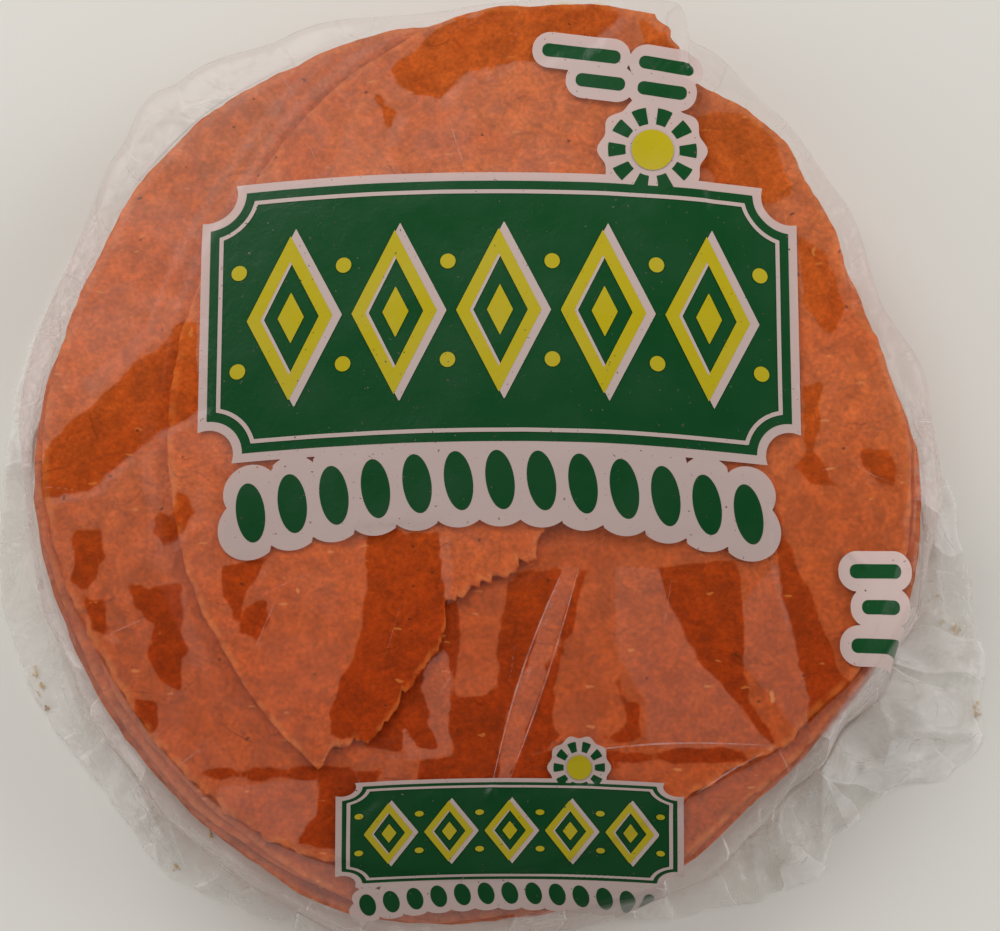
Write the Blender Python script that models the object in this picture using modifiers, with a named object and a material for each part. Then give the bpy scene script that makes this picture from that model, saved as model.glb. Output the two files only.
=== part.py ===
"""A clear bag of round chilli corn tortillas, lying flat with the stack inside.

The bag is one closed solid: the film is drawn over the fanned stack, stands off its edge, and
lies on the table around it as a pleated skirt. Lengths below are in millimetres, angles in
degrees anticlockwise from +X, both about the axis of the stack.
"""

import math

import bmesh
import bpy

MM = 0.001

# The stack
TORTILLA_PITCH = 1.5
TORTILLA_COUNT = 18
STACK_HEIGHT = TORTILLA_COUNT * TORTILLA_PITCH
LEAN = (-4.0, -4.0)  # where the lower tortillas lie, on average
LEAN_SPREAD = 1.6  # how far one of them lies from that
SECOND_CENTRE = (-4.7, 0.5)
TORN_CENTRE = (16.2, 4.7)
TORN_REACH = 74.8  # the radius of the torn tortilla at the back, where it juts out
RIM_DROOP = 1.1  # how far the tortillas sink at their edge
WAVE = 0.35  # how uneven the top is

# The edge of the second tortilla, as (angle, radius): hand-made, so it is not quite round
SECOND_EDGE = (
    (0, 72.5),
    (14, 70.9),
    (25, 70.1),
    (34, 72.9),
    (41, 73.8),
    (48, 76.0),
    (54, 76.1),
    (60, 75.3),
    (90, 74.5),
    (104, 75.0),
    (121, 74.0),
    (130, 74.4),
    (142, 73.7),
    (154, 72.1),
    (166, 72.0),
    (180, 72.6),
    (210, 71.0),
    (240, 73.2),
    (270, 72.0),
    (300, 68.8),
    (330, 71.4),
)

# The edge of the tortillas below it: (angle, radius)
LOWER_EDGE = (
    (0, 73.4),
    (20, 70.4),
    (45, 73.6),
    (90, 74.4),
    (150, 73.0),
    (176, 74.3),
    (205, 72.2),
    (220, 72.0),
    (234, 72.8),
    (254, 74.7),
    (275, 72.2),
    (297, 72.2),
    (309, 70.2),
    (320, 70.9),
    (343, 74.5),
)

# The line where the top tortilla is torn off, from the back to the front. It lies to its left.
TEAR = (
    (20.6, 82.2),
    (29.2, 74.0),
    (31.8, 67.2),
    (5.8, -18.4),
    (0.0, -21.7),
    (-8.6, -25.6),
    (-9.9, -33.8),
    (-17.2, -42.9),
    (-21.3, -48.6),
    (-27.8, -50.2),
    (-33.0, -60.0),
)
TEAR_BLEND = 2.2  # over how much the film comes down from the torn edge

# The film
FILM_GAP = 0.5  # how far the film stands off the tortillas
FILM_FLAT = 1.0  # the two films and the air between them, where the skirt lies flat
HEM_LIFT = 0.7
SHOULDER_DROP = 1.2
TUCK = 1.5  # how far the tucked film turns in under the stack
FOOT_SPREAD = 2.5  # how far out the foot of a loose side stands
FOOT_LEAST = 1.0
PLEAT_BOW = 0.4  # how far a pleat stands out of the side, for each millimetre of its height

# How far out the bag lies: (angle, reach)
HEM = (
    (7, 75.6),
    (22, 70.4),
    (38, 73.8),
    (52, 76.6),
    (64, 80.2),
    (75, 81.4),
    (87, 80.0),
    (99, 79.0),
    (117, 83.2),
    (130, 89.4),
    (134, 92.2),
    (141, 88.6),
    (150, 86.6),
    (168, 87.8),
    (181, 88.2),
    (194, 90.6),
    (205, 90.5),
    (219, 88.8),
    (231, 90.7),
    (240, 87.9),
    (249, 86.6),
    (258, 82.1),
    (270, 79.6),
    (283, 80.2),
    (294, 83.8),
    (302, 87.6),
    (308, 89.7),
    (312, 86.4),
    (321, 88.0),
    (326, 94.6),
    (330, 96.4),
    (337, 92.2),
    (345, 86.2),
    (354, 81.6),
)

# How loosely the bag lies around the stack: 0 is tucked under it, 1 is a flat skirt
SLACK = (
    (0, 0.75),
    (15, 0.2),
    (35, 0.0),
    (110, 0.05),
    (135, 0.35),
    (165, 0.7),
    (185, 1.0),
    (345, 1.0),
)

# Pleats drawn out of the stack's edge: (angle, height, half width in degrees)
PLEATS = (
    (133, 3.5, 7),
    (160, 1.2, 6),
    (176, 1.8, 5),
    (195, 1.5, 7),
    (212, 2.6, 6),
    (226, 3.6, 5),
    (238, 2.4, 5),
    (252, 2.0, 6),
    (283, 1.6, 6),
    (297, 3.2, 5),
    (307, 5.0, 4),
    (317, 3.0, 5),
    (329, 6.0, 6),
    (341, 3.2, 5),
    (352, 2.2, 5),
)

# The net of the solid
SEGMENTS = 144
TOP_RINGS = 15
SKIRT_RINGS = 5

# The side below its rim, as (share of the way out where tucked, where loose, height, share of
# a pleat's bow). A tucked side hugs the lower tortillas; a loose one goes out to its foot.
SIDE = (
    (0.95, 0.05, 22.4, 0.0),
    (0.75, 0.35, 17.0, 0.6),
    (0.35, 0.62, 10.0, 1.0),
    (0.15, 0.86, 4.5, 1.0),
    (0.10, 1.00, 1.5, 0.5),
)
SIDE_RINGS = len(SIDE) + 1

FILM_COLOUR = (0.55, 0.16, 0.055, 1.0)


def smooth(share):
    """Rises from 0 to 1 with level ends."""
    share = min(max(share, 0.0), 1.0)
    return share * share * (3.0 - 2.0 * share)


def mix(start, end, share):
    return start + (end - start) * share


def around(stations, angle):
    """The value at an angle of a closed list of (angle, value) stations."""
    angle %= 360.0
    for (start, first), (end, second) in zip(stations, stations[1:] + stations[:1]):
        width = (end - start) % 360.0
        past = (angle - start) % 360.0
        if past <= width:
            return mix(first, second, smooth(past / width))
    return stations[0][1]


def disc_reach(angle, centre, radius):
    """How far a round edge, centred off the axis, lies from the axis at an angle."""
    turn = math.radians(angle)
    along = centre[0] * math.cos(turn) + centre[1] * math.sin(turn)
    across = centre[1] * math.cos(turn) - centre[0] * math.sin(turn)
    return along + math.sqrt(radius**2 - across**2)


def second_reach(angle):
    return disc_reach(angle, SECOND_CENTRE, around(SECOND_EDGE, angle))


def lower_centre(layer):
    turn = math.radians(137.5 * layer)
    return (
        LEAN[0] + LEAN_SPREAD * math.cos(turn),
        LEAN[1] + LEAN_SPREAD * math.sin(turn),
    )


def stack_reach(angle):
    """The widest the stack gets at an angle."""
    radius = around(LOWER_EDGE, angle)
    lower = (
        disc_reach(angle, lower_centre(layer), radius)
        for layer in range(TORTILLA_COUNT - 2)
    )
    return max(second_reach(angle), *lower)


def tear_line(y):
    """The x of the torn edge at a depth y."""
    for (x_back, y_back), (x_front, y_front) in zip(TEAR, TEAR[1:]):
        if y >= y_front:
            share = min((y_back - y) / (y_back - y_front), 1.0)
            return mix(x_back, x_front, max(share, 0.0))
    return TEAR[-1][0]


def torn_cover(x, y):
    """1 over the torn top tortilla, 0 beside it, with the film's fall between."""
    inside_edge = TORN_REACH - math.hypot(x - TORN_CENTRE[0], y - TORN_CENTRE[1])
    inside_tear = tear_line(y) - x
    inside = min(inside_edge, inside_tear)
    return smooth(0.5 + inside / TEAR_BLEND)


def shoulder_reach(angle):
    """Where the film leaves the top of the stack: at the back the torn tortilla juts out."""
    second = second_reach(angle)
    torn = disc_reach(angle, TORN_CENTRE, TORN_REACH)
    at_back = smooth((angle % 360.0 - 63.0) / 6.0) * smooth((134.0 - angle % 360.0) / 8.0)
    return max(second, mix(second, torn, at_back))


def top_height(x, y, share):
    """The film over the stack, at a share of the way from the axis to the shoulder."""
    second_top = STACK_HEIGHT - TORTILLA_PITCH + FILM_GAP
    droop = RIM_DROOP * smooth((share - 0.55) / 0.45)
    wave = WAVE * math.sin(0.075 * x + 0.4) * math.cos(0.062 * y - 0.8)
    return second_top + TORTILLA_PITCH * torn_cover(x, y) - droop + wave


def pleat(angle):
    """How far a pleat lifts the film at an angle."""
    lift = 0.0
    for centre, height, half_width in PLEATS:
        away = abs((angle - centre + 180.0) % 360.0 - 180.0)
        lift += height * max(0.0, 1.0 - away / half_width)
    return lift


def hem_reach(angle):
    return around(HEM, angle)


def rim_height(angle):
    """The film at the shoulder."""
    turn = math.radians(angle)
    reach = shoulder_reach(angle)
    return top_height(reach * math.cos(turn), reach * math.sin(turn), 1.0) - SHOULDER_DROP


def side_point(angle, row):
    """One point of the film beside the stack, as (reach, height)."""
    slack = around(SLACK, angle)
    shoulder = shoulder_reach(angle)
    lower = stack_reach(angle) + FILM_GAP
    ledge = max(lower, shoulder + FILM_GAP)
    if row == 0:
        return mix(shoulder, ledge, 0.55) + 0.3, rim_height(angle) - 0.9
    tucked, loose, height, bow = SIDE[row - 1]
    tucked_reach = mix(lower, max(hem_reach(angle), ledge + FOOT_LEAST), tucked)
    loose_reach = mix(ledge, ledge + FOOT_SPREAD, loose) + bow * PLEAT_BOW * pleat(angle)
    return mix(tucked_reach, loose_reach, slack), min(height, rim_height(angle) - 2.0)


def skirt_point(angle, row):
    """One point of the skirt, from the foot of the side (row 0) to the hem."""
    share = (row + 1) / SKIRT_RINGS
    slack = around(SLACK, angle)
    foot, foot_height = side_point(angle, SIDE_RINGS - 1)
    hem = mix(foot - TUCK, max(hem_reach(angle), foot + 0.6), smooth(3.0 * slack))
    hump = pleat(angle) * slack * math.sin(math.pi * min(share + 0.25, 1.0))
    flat = mix(foot_height, mix(HEM_LIFT, FILM_FLAT, slack), smooth(share * 1.4))
    return mix(foot, hem, share), flat + hump


def surface_point(ring, angle):
    """The place of one point of the film, counted in rings from the axis to the hem."""
    turn = math.radians(angle)
    if ring <= TOP_RINGS:
        share = ring / TOP_RINGS
        reach = share * shoulder_reach(angle)
        height = top_height(reach * math.cos(turn), reach * math.sin(turn), share)
        if ring == TOP_RINGS:
            height = rim_height(angle)
    elif ring <= TOP_RINGS + SIDE_RINGS:
        reach, height = side_point(angle, ring - TOP_RINGS - 1)
    else:
        reach, height = skirt_point(angle, ring - TOP_RINGS - SIDE_RINGS - 1)
    return reach * math.cos(turn), reach * math.sin(turn), height


def turned_blank():
    """A flat turned solid with one ring of points for each ring of the film, and a flat base."""
    rings = TOP_RINGS + SIDE_RINGS + SKIRT_RINGS
    profile = [(ring, 1.0) for ring in range(rings + 1)] + [(rings, 0.0), (0.0, 0.0)]
    mesh = bpy.data.meshes.new("blank")
    edges = [(i, i + 1) for i in range(len(profile) - 1)]
    mesh.from_pydata([(reach, 0.0, height) for reach, height in profile], edges, [])
    blank = bpy.data.objects.new("blank", mesh)
    bpy.context.scene.collection.objects.link(blank)
    screw = blank.modifiers.new("Turn", "SCREW")
    screw.steps = screw.render_steps = SEGMENTS
    screw.use_merge_vertices = True
    screw.merge_threshold = 0.0001
    bpy.context.view_layer.update()
    turned = bpy.data.meshes.new_from_object(
        blank.evaluated_get(bpy.context.evaluated_depsgraph_get())
    )
    bpy.data.objects.remove(blank)
    return turned


def shape(mesh):
    """Moves the blank's points to the film and to the base under it, in metres."""
    rings = TOP_RINGS + SIDE_RINGS + SKIRT_RINGS
    for vertex in mesh.vertices:
        ring = round(math.hypot(vertex.co.x, vertex.co.y))
        angle = math.degrees(math.atan2(vertex.co.y, vertex.co.x))
        on_film = vertex.co.z > 0.5
        x, y, height = surface_point(rings if not on_film and ring else ring, angle)
        vertex.co = (x * MM, y * MM, height * MM if on_film else 0.0)


def centre_on_origin(mesh):
    """Moves the mesh so that the middle of its box stands on the origin."""
    for axis in (0, 1):
        places = [vertex.co[axis] for vertex in mesh.vertices]
        middle = (min(places) + max(places)) / 2.0
        for vertex in mesh.vertices:
            vertex.co[axis] -= middle


def film_material():
    material = bpy.data.materials.new("clear film over tortillas")
    material.use_nodes = True
    shader = material.node_tree.nodes["Principled BSDF"]
    shader.inputs["Base Color"].default_value = FILM_COLOUR
    shader.inputs["Roughness"].default_value = 0.3
    shader.inputs["Metallic"].default_value = 0.0
    shader.inputs["Coat Weight"].default_value = 0.6
    return material


def build_bag(collection):
    mesh = turned_blank()
    shape(mesh)
    centre_on_origin(mesh)
    cleanup = bmesh.new()
    cleanup.from_mesh(mesh)
    bmesh.ops.recalc_face_normals(cleanup, faces=cleanup.faces)
    cleanup.to_mesh(mesh)
    cleanup.free()
    mesh.name = "tortilla_bag"
    mesh.materials.append(film_material())
    bag = bpy.data.objects.new("tortilla_bag", mesh)
    collection.objects.link(bag)
    mesh.shade_smooth()
    mesh.set_sharp_from_angle(angle=math.radians(40.0))
    return bag


def main():
    for obj in list(bpy.data.objects):
        bpy.data.objects.remove(obj)
    collection = bpy.data.collections.new("corn_tortilla_stack")
    bpy.context.scene.collection.children.link(collection)
    build_bag(collection)


main()
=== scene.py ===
"""Dresses a packed bag of round chilli corn tortillas, lying flat with the stack inside.

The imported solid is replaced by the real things: a clear film with its pleats, the print on it,
eighteen tortillas with the top one torn, and the crumbs that have fallen out of them. The shape
is worked out in millimetres about the axis of the stack, with angles in degrees anticlockwise
from +X, and is turned into metres only when a mesh is made.
"""

import math

import bmesh
import bpy
import numpy as np
from bpy.props import FloatProperty, FloatVectorProperty, IntProperty, PointerProperty
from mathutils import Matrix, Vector


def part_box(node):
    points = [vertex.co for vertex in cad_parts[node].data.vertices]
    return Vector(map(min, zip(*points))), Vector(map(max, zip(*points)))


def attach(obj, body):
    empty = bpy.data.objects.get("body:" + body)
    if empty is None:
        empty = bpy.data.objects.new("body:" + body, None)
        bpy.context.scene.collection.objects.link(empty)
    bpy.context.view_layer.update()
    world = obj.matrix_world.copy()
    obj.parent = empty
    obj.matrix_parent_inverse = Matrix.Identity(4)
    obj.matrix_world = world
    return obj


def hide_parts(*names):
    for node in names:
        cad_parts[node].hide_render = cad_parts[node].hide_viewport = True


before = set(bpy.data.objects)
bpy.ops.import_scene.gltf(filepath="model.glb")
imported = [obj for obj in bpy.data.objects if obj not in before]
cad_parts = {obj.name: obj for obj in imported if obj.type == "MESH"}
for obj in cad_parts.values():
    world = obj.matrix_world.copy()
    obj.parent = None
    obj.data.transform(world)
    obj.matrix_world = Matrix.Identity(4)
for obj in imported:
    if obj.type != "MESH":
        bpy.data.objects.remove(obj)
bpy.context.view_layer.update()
BAG_LOW, BAG_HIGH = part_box("tortilla_bag")

bl_info = {
    "name": "Corn Tortilla Stack",
    "version": (1, 0, 0),
    "blender": (4, 5, 0),
    "location": "View3D > Sidebar > Tortillas",
    "description": "Film, print, tortillas and crumbs for a packed bag of corn tortillas",
    "category": "Add Mesh",
}

MM = 0.001

# The stack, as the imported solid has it
TORTILLA_PITCH = 1.5
TORTILLA_COUNT = 18
STACK_HEIGHT = TORTILLA_COUNT * TORTILLA_PITCH
LEAN = (-4.0, -4.0)  # where the lower tortillas lie, on average
LEAN_SPREAD = 1.6
SECOND_CENTRE = (-4.7, 0.5)
TORN_CENTRE = (16.2, 4.7)
TORN_REACH = 74.8  # the radius of the torn tortilla at the back, where it juts out
TORN_SEED = (-20.0, 10.0)  # a place from which the whole torn tortilla can be seen
RIM_DROOP = 1.1
WAVE = 0.35
LAYER_GAP = 0.12  # the air between two tortillas
TONES = (1.06, 0.97, 0.90, 1.0, 0.86, 0.96, 0.92)  # how light each tortilla is, from the top

# The edge of the second tortilla, as (angle, radius): given one by one, so it is not quite round
SECOND_EDGE = (
    (0, 74.2),
    (14, 71.8),
    (25, 70.1),
    (34, 72.9),
    (41, 73.8),
    (48, 76.0),
    (54, 76.1),
    (60, 75.3),
    (90, 74.5),
    (104, 75.0),
    (121, 74.0),
    (130, 74.4),
    (142, 73.7),
    (154, 72.1),
    (166, 72.0),
    (180, 72.6),
    (210, 71.0),
    (240, 73.2),
    (270, 72.0),
    (300, 68.8),
    (318, 72.4),
    (330, 74.8),
    (346, 75.0),
)

# The edge of the torn tortilla
TORN_EDGE = (
    (60, 72.4),
    (83, 72.6),
    (90, 73.5),
    (96, 73.8),
    (104, 75.2),
    (112, 75.0),
    (120, 73.8),
    (150, 71.0),
    (180, 71.8),
    (210, 73.0),
    (240, 74.4),
    (270, 73.2),
    (300, 72.4),
)

# The edge of the tortillas below them
LOWER_EDGE = (
    (0, 73.7),
    (20, 71.3),
    (45, 73.6),
    (90, 74.4),
    (150, 73.0),
    (176, 74.3),
    (205, 72.2),
    (220, 72.0),
    (234, 72.8),
    (254, 74.7),
    (275, 72.2),
    (297, 72.2),
    (309, 70.2),
    (320, 70.9),
    (343, 74.5),
)

# The line where the top tortilla is torn off, from the back to the front. It lies to its left.
TEAR = (
    (20.6, 82.2),
    (29.2, 74.0),
    (31.8, 67.2),
    (5.8, -18.4),
    (0.0, -21.7),
    (-8.6, -25.6),
    (-9.9, -33.8),
    (-17.2, -42.9),
    (-21.3, -48.6),
    (-27.8, -50.2),
    (-33.0, -60.0),
)
TEAR_BLEND = 5.0  # over how much the film comes down from an edge

# The film
FILM_FLAT = 1.0  # the two films and the air between them, where the skirt lies flat
HEM_LIFT = 0.7
SHOULDER_DROP = 0.6
TUCK = 1.5  # how far the tucked film turns in under the stack
FOOT_SPREAD = 2.5  # how far out the foot of a loose side stands
FOOT_LEAST = 1.0
LEDGE_GAP = 0.5  # how far the film stands off the edges of the lower tortillas
PLEAT_BOW = 0.4  # how far a pleat stands out of the side, for each millimetre of its height

# The side below its rim, as (share of the way out where tucked, where loose, height, share of
# a pleat's bow). A tucked side hugs the lower tortillas; a loose one goes out to its foot.
SIDE = (
    (0.95, 0.05, 22.4, 0.0),
    (0.75, 0.35, 17.0, 0.6),
    (0.35, 0.62, 10.0, 1.0),
    (0.15, 0.86, 4.5, 1.0),
    (0.10, 1.00, 1.5, 0.5),
)

# How far out the bag lies: (angle, reach)
HEM = (
    (7, 75.6),
    (22, 70.4),
    (38, 73.8),
    (52, 76.6),
    (64, 80.2),
    (75, 81.4),
    (87, 80.0),
    (99, 79.0),
    (117, 83.2),
    (130, 89.4),
    (134, 92.2),
    (141, 88.6),
    (150, 86.6),
    (168, 87.8),
    (181, 88.2),
    (194, 90.6),
    (205, 90.5),
    (219, 88.8),
    (231, 90.7),
    (240, 87.9),
    (249, 86.6),
    (258, 82.1),
    (270, 79.6),
    (283, 80.2),
    (294, 83.8),
    (302, 87.6),
    (308, 89.7),
    (312, 86.4),
    (321, 88.0),
    (326, 94.6),
    (330, 96.4),
    (337, 92.2),
    (345, 86.2),
    (354, 81.6),
)

# How loosely the bag lies around the stack: 0 is tucked under it, 1 is a flat skirt
SLACK = (
    (0, 0.75),
    (15, 0.2),
    (35, 0.0),
    (110, 0.05),
    (135, 0.35),
    (165, 0.7),
    (185, 1.0),
    (345, 1.0),
)

# Pleats drawn out of the stack's edge: (angle, height, half width in degrees)
PLEATS = (
    (133, 3.5, 7),
    (160, 1.2, 6),
    (176, 1.8, 5),
    (195, 1.5, 7),
    (212, 2.6, 6),
    (226, 3.6, 5),
    (238, 2.4, 5),
    (252, 2.0, 6),
    (283, 1.6, 6),
    (297, 3.2, 5),
    (307, 5.0, 4),
    (317, 3.0, 5),
    (329, 6.0, 6),
    (341, 3.2, 5),
    (352, 2.2, 5),
)

# Creases in the film: (start, end, height, half width)
CREASES = (
    # The flat fold of the bag's tube, and what runs beside it
    ((12.0, -17.0), (-1.8, -58.05), 0.56, 1.0),
    ((13.9, -17.0), (0.4, -58.0), 0.56, 0.9),
    ((-10.0, -21.5), (-8.5, -51.5), 0.35, 1.0),
    ((-26.0, -53.0), (-8.0, -51.5), 0.5, 1.1),
    ((-49.0, -53.0), (-31.0, -53.0), 0.5, 1.1),
    ((-16.0, -48.0), (-14.0, -40.5), 0.3, 1.0),
    ((20.0, -19.0), (18.0, -34.0), 0.25, 1.2),
    ((18.0, -34.0), (21.0, -42.5), 0.35, 0.9),
    # The fan drawn together at the near right of the stack
    ((9.0, -51.0), (45.5, -49.5), 0.6, 1.1),
    ((26.0, -20.5), (45.5, -49.5), 0.35, 1.1),
    ((35.0, -38.0), (45.5, -49.5), 0.35, 1.0),
    ((40.0, -25.5), (45.5, -49.5), 0.35, 1.0),
    ((44.5, -19.0), (51.5, -48.0), 0.5, 1.0),
    ((47.0, -19.0), (56.0, -42.0), 0.45, 1.0),
    ((45.5, -49.5), (30.5, -58.5), 0.6, 1.3),
    ((45.5, -49.5), (53.0, -66.5), 0.9, 1.8),
    # Long ones at the right
    ((48.0, -7.5), (61.0, -20.0), 0.35, 1.0),
    ((53.0, 5.0), (67.5, -14.0), 0.35, 0.9),
    ((61.0, 3.0), (60.5, -15.5), 0.4, 1.0),
    # By the near left
    ((-65.0, -32.0), (-57.0, -36.5), 0.5, 1.2),
    ((-28.0, -53.5), (-28.0, -58.5), 0.4, 0.9),
    ((-28.0, -58.5), (-29.0, -62.0), 0.4, 0.9),
    # On the skirt
    ((-80.5, -19.0), (-75.5, -35.5), 1.0, 1.6),
    ((-75.5, -35.5), (-70.5, -48.0), 1.0, 1.6),
    ((-72.0, -40.0), (-63.5, -54.5), 0.9, 1.4),
    ((-68.5, -46.5), (-60.0, -58.0), 1.0, 1.5),
    ((-62.5, -55.0), (-55.0, -68.0), 1.4, 1.6),
    ((-57.5, -57.0), (-54.0, -69.0), 1.6, 1.5),
    ((-52.5, -68.0), (-47.0, -76.0), 1.2, 1.8),
    ((-45.0, -66.5), (-40.5, -73.0), 1.0, 1.5),
    ((55.0, -49.0), (55.5, -65.0), 1.8, 1.6),
    ((49.0, -52.0), (47.0, -66.0), 1.3, 1.5),
    ((54.0, -51.0), (52.5, -59.5), 1.0, 1.3),
    ((42.5, -58.0), (44.5, -74.0), 1.5, 1.8),
    ((64.0, -38.5), (67.5, -46.5), 1.3, 1.6),
    ((67.5, -46.5), (66.0, -52.0), 1.2, 1.6),
    ((62.0, -52.0), (73.0, -50.5), 1.4, 1.7),
    ((72.0, -51.5), (56.0, -65.5), 1.0, 1.5),
    ((68.5, -46.0), (82.5, -46.0), 1.6, 1.6),
    ((77.5, -37.5), (83.5, -40.5), 0.9, 1.4),
    ((74.5, 14.0), (77.0, -26.0), 1.0, 1.6),
    ((71.5, 18.0), (73.0, -20.0), 0.8, 1.5),
)

# Where the film clings to the damp top, as outlines
CLINGING = (
    # the long band at the left
    ((-51, 22), (-55, 20), (-62, 14), (-68, 8), (-73, 4), (-77, 0), (-77, -8), (-67, -6), (-63, -2), (-56, 3)),
    ((-51, 22), (-55, 20), (-57, 3), (-53, 5), (-50, 7)),
    # patches on and by the left rim
    ((-57, -10), (-55, -11), (-54, -15), (-56, -16), (-58, -14)),
    ((-54, -7), (-52, -8), (-51, -11), (-53, -14), (-55, -11)),
    ((-71, -14), (-67, -13), (-66, -18), (-69, -24), (-71, -22)),
    ((-70, -24), (-66, -25), (-65, -32), (-68, -30)),
    ((-62, -23), (-53, -23), (-52, -27), (-53, -31), (-52, -33), (-53, -40), (-57, -38), (-59, -34), (-57, -29), (-61, -27)),
    ((-61, -41), (-57, -42), (-56, -46), (-58, -48), (-60, -46)),
    ((-46, -20), (-39, -19), (-42, -24), (-43, -29), (-46, -25)),
    ((-42, -27), (-39, -26), (-38, -29), (-40, -32), (-43, -31)),
    # the near rim
    ((-50, -54), (-46, -53), (-29, -53), (-25, -53), (-32, -55), (-46, -55)),
    ((-29, -54), (-19, -53), (-21, -58), (-25, -61), (-27, -66), (-33, -65), (-30, -61)),
    # the torn corner, and the second tortilla beside it
    ((-11, -33), (-12.7, -39.5), (-12, -46), (-9.6, -50.3), (-14, -50), (-15.8, -47), (-15.3, -51), (-23, -50), (-19, -42)),
    ((-22, -14), (-10, -14), (-9, -27), (-9, -31), (-10, -35), (-17, -43), (-21, -49), (-28, -48), (-28, -44), (-24, -34), (-22, -24)),
    ((-9, -27), (-7, -25), (-7, -41), (-3, -41), (0.3, -40), (-1.2, -35), (0.5, -27), (1, -23), (4, -21),
     (10.8, -20), (8.2, -26), (5.7, -32), (3.1, -39), (1, -46), (-1, -55), (-3, -56), (-13, -56), (-13, -52), (-8, -51)),
    ((13, -20), (15, -20), (11, -33), (9.2, -41), (9, -46), (10, -48), (5, -51), (16, -50), (20, -53), (10, -56),
     (1.2, -57), (4, -48), (6.4, -41), (9.4, -33)),
    ((18, -34), (21, -42), (23, -42), (23, -48), (20, -49), (17, -48), (21, -46)),
    ((26, -20), (39, -19), (40, -26), (40, -37), (41, -42), (45, -49), (35, -38), (31, -32)),
    # the band at the near right
    ((46, -10), (48, -16), (51, -23), (54, -32), (57, -39), (60, -42), (56, -45), (51, -48), (51, -42), (49, -34), (47, -24)),
    ((9, -51), (40, -50), (41, -52), (35, -52), (10, -52)),
    ((30, -60), (33, -59), (35, -63), (32, -65), (31, -69), (29, -69)),
    # the right side
    ((51, 11), (54, 11), (53, 0), (56, -6), (52, -6), (49, -3), (51, 0)),
    ((61, 0), (65, 0), (67, -3), (66, -6), (63, -5), (61, -3)),
    ((51, 37), (55, 35), (58, 25), (56, 20), (52, 25)),
    # the far rim
    ((-19, 66), (-10, 74), (0, 78), (18, 78), (22, 76), (17, 73), (14, 70), (6, 68), (-6, 66), (-10, 61), (-15, 61)),
    ((24, 75), (29, 73), (31, 67), (24, 68), (25, 71)),
    ((-21, 61), (-18, 58), (-19, 54), (-20, 59)),
    ((31, 57), (41, 59), (47, 54), (50, 44), (45, 43), (41, 41), (37, 42), (36, 48), (32, 49)),
)

# Where the slack film over the dry top looks milky
MILKY = (
    ((10, -20), (13, -20), (7, -39), (1, -58), (-1, -57), (3, -39)),
    ((-11, -15), (-8, -15), (-8, -27), (-11, -27)),
    ((-17, -46), (-14, -38), (-8, -32), (-8, -51), (-15, -52)),
    ((19, -20), (27, -20), (34, -36), (44, -49), (24, -49), (24, -42), (19, -34)),
    ((26, -47), (44, -48), (45, -50), (26, -50)),
    ((40, -26), (46, -19), (48, -26), (50, -36), (52, -46), (50, -49), (45, -42), (40, -36)),
    ((-54, 27), (-63, 18), (-70, 12), (-69, 9), (-62, 15), (-54, 22)),
    ((-46, -56), (-30, -55), (-28, -66), (-47, -63)),
)


# ---------------------------------------------------------------- shapes as functions


def smooth(share):
    """Rises from 0 to 1 with level ends."""
    share = np.clip(share, 0.0, 1.0)
    return share * share * (3.0 - 2.0 * share)


def mix(start, end, share):
    return start + (end - start) * share


def around(stations, angle):
    """The value at each angle of a closed list of (angle, value) stations."""
    places = np.array([station[0] for station in stations], float)
    values = np.array([station[1] for station in stations], float)
    places = np.append(places, places[0] + 360.0)
    values = np.append(values, values[0])
    angle = (angle - places[0]) % 360.0 + places[0]
    step = np.clip(np.searchsorted(places, angle, side="right") - 1, 0, len(places) - 2)
    share = (angle - places[step]) / (places[step + 1] - places[step])
    return mix(values[step], values[step + 1], smooth(share))


def disc_reach(angle, centre, radius):
    """How far a round edge, centred off the axis, lies from the axis at an angle."""
    turn = np.radians(angle)
    along = centre[0] * np.cos(turn) + centre[1] * np.sin(turn)
    across = centre[1] * np.cos(turn) - centre[0] * np.sin(turn)
    return along + np.sqrt(radius**2 - across**2)


def second_reach(angle):
    return disc_reach(angle, SECOND_CENTRE, around(SECOND_EDGE, angle))


def lower_centre(layer):
    turn = math.radians(137.5 * layer)
    return (
        LEAN[0] + LEAN_SPREAD * math.cos(turn),
        LEAN[1] + LEAN_SPREAD * math.sin(turn),
    )


def lower_reach(angle):
    """The widest that the tortillas below the second get at an angle."""
    radius = around(LOWER_EDGE, angle)
    layers = range(TORTILLA_COUNT - 2)
    return np.max([disc_reach(angle, lower_centre(layer), radius) for layer in layers], axis=0)


def stack_reach(angle):
    """The widest the stack gets at an angle."""
    return np.maximum(lower_reach(angle), second_reach(angle))


def shoulder_reach(angle):
    """Where the film leaves the top of the stack: at the back the torn tortilla juts out."""
    second = second_reach(angle)
    torn = disc_reach(angle, TORN_CENTRE, TORN_REACH)
    at_back = smooth((angle % 360.0 - 63.0) / 6.0) * smooth((134.0 - angle % 360.0) / 8.0)
    return np.maximum(second, mix(second, torn, at_back))


def tear_line(y):
    """The x of the torn edge at a depth y."""
    places = np.array(TEAR[::-1])
    return np.interp(y, places[:, 1], places[:, 0])


def inside_torn(x, y):
    """How far inside the top tortilla a place lies, in millimetres."""
    angle = np.degrees(np.arctan2(y - TORN_CENTRE[1], x - TORN_CENTRE[0]))
    radius = around(TORN_EDGE, angle)
    inside_edge = radius - np.hypot(x - TORN_CENTRE[0], y - TORN_CENTRE[1])
    return np.minimum(inside_edge, (tear_line(y) - x) * 0.85)


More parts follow.
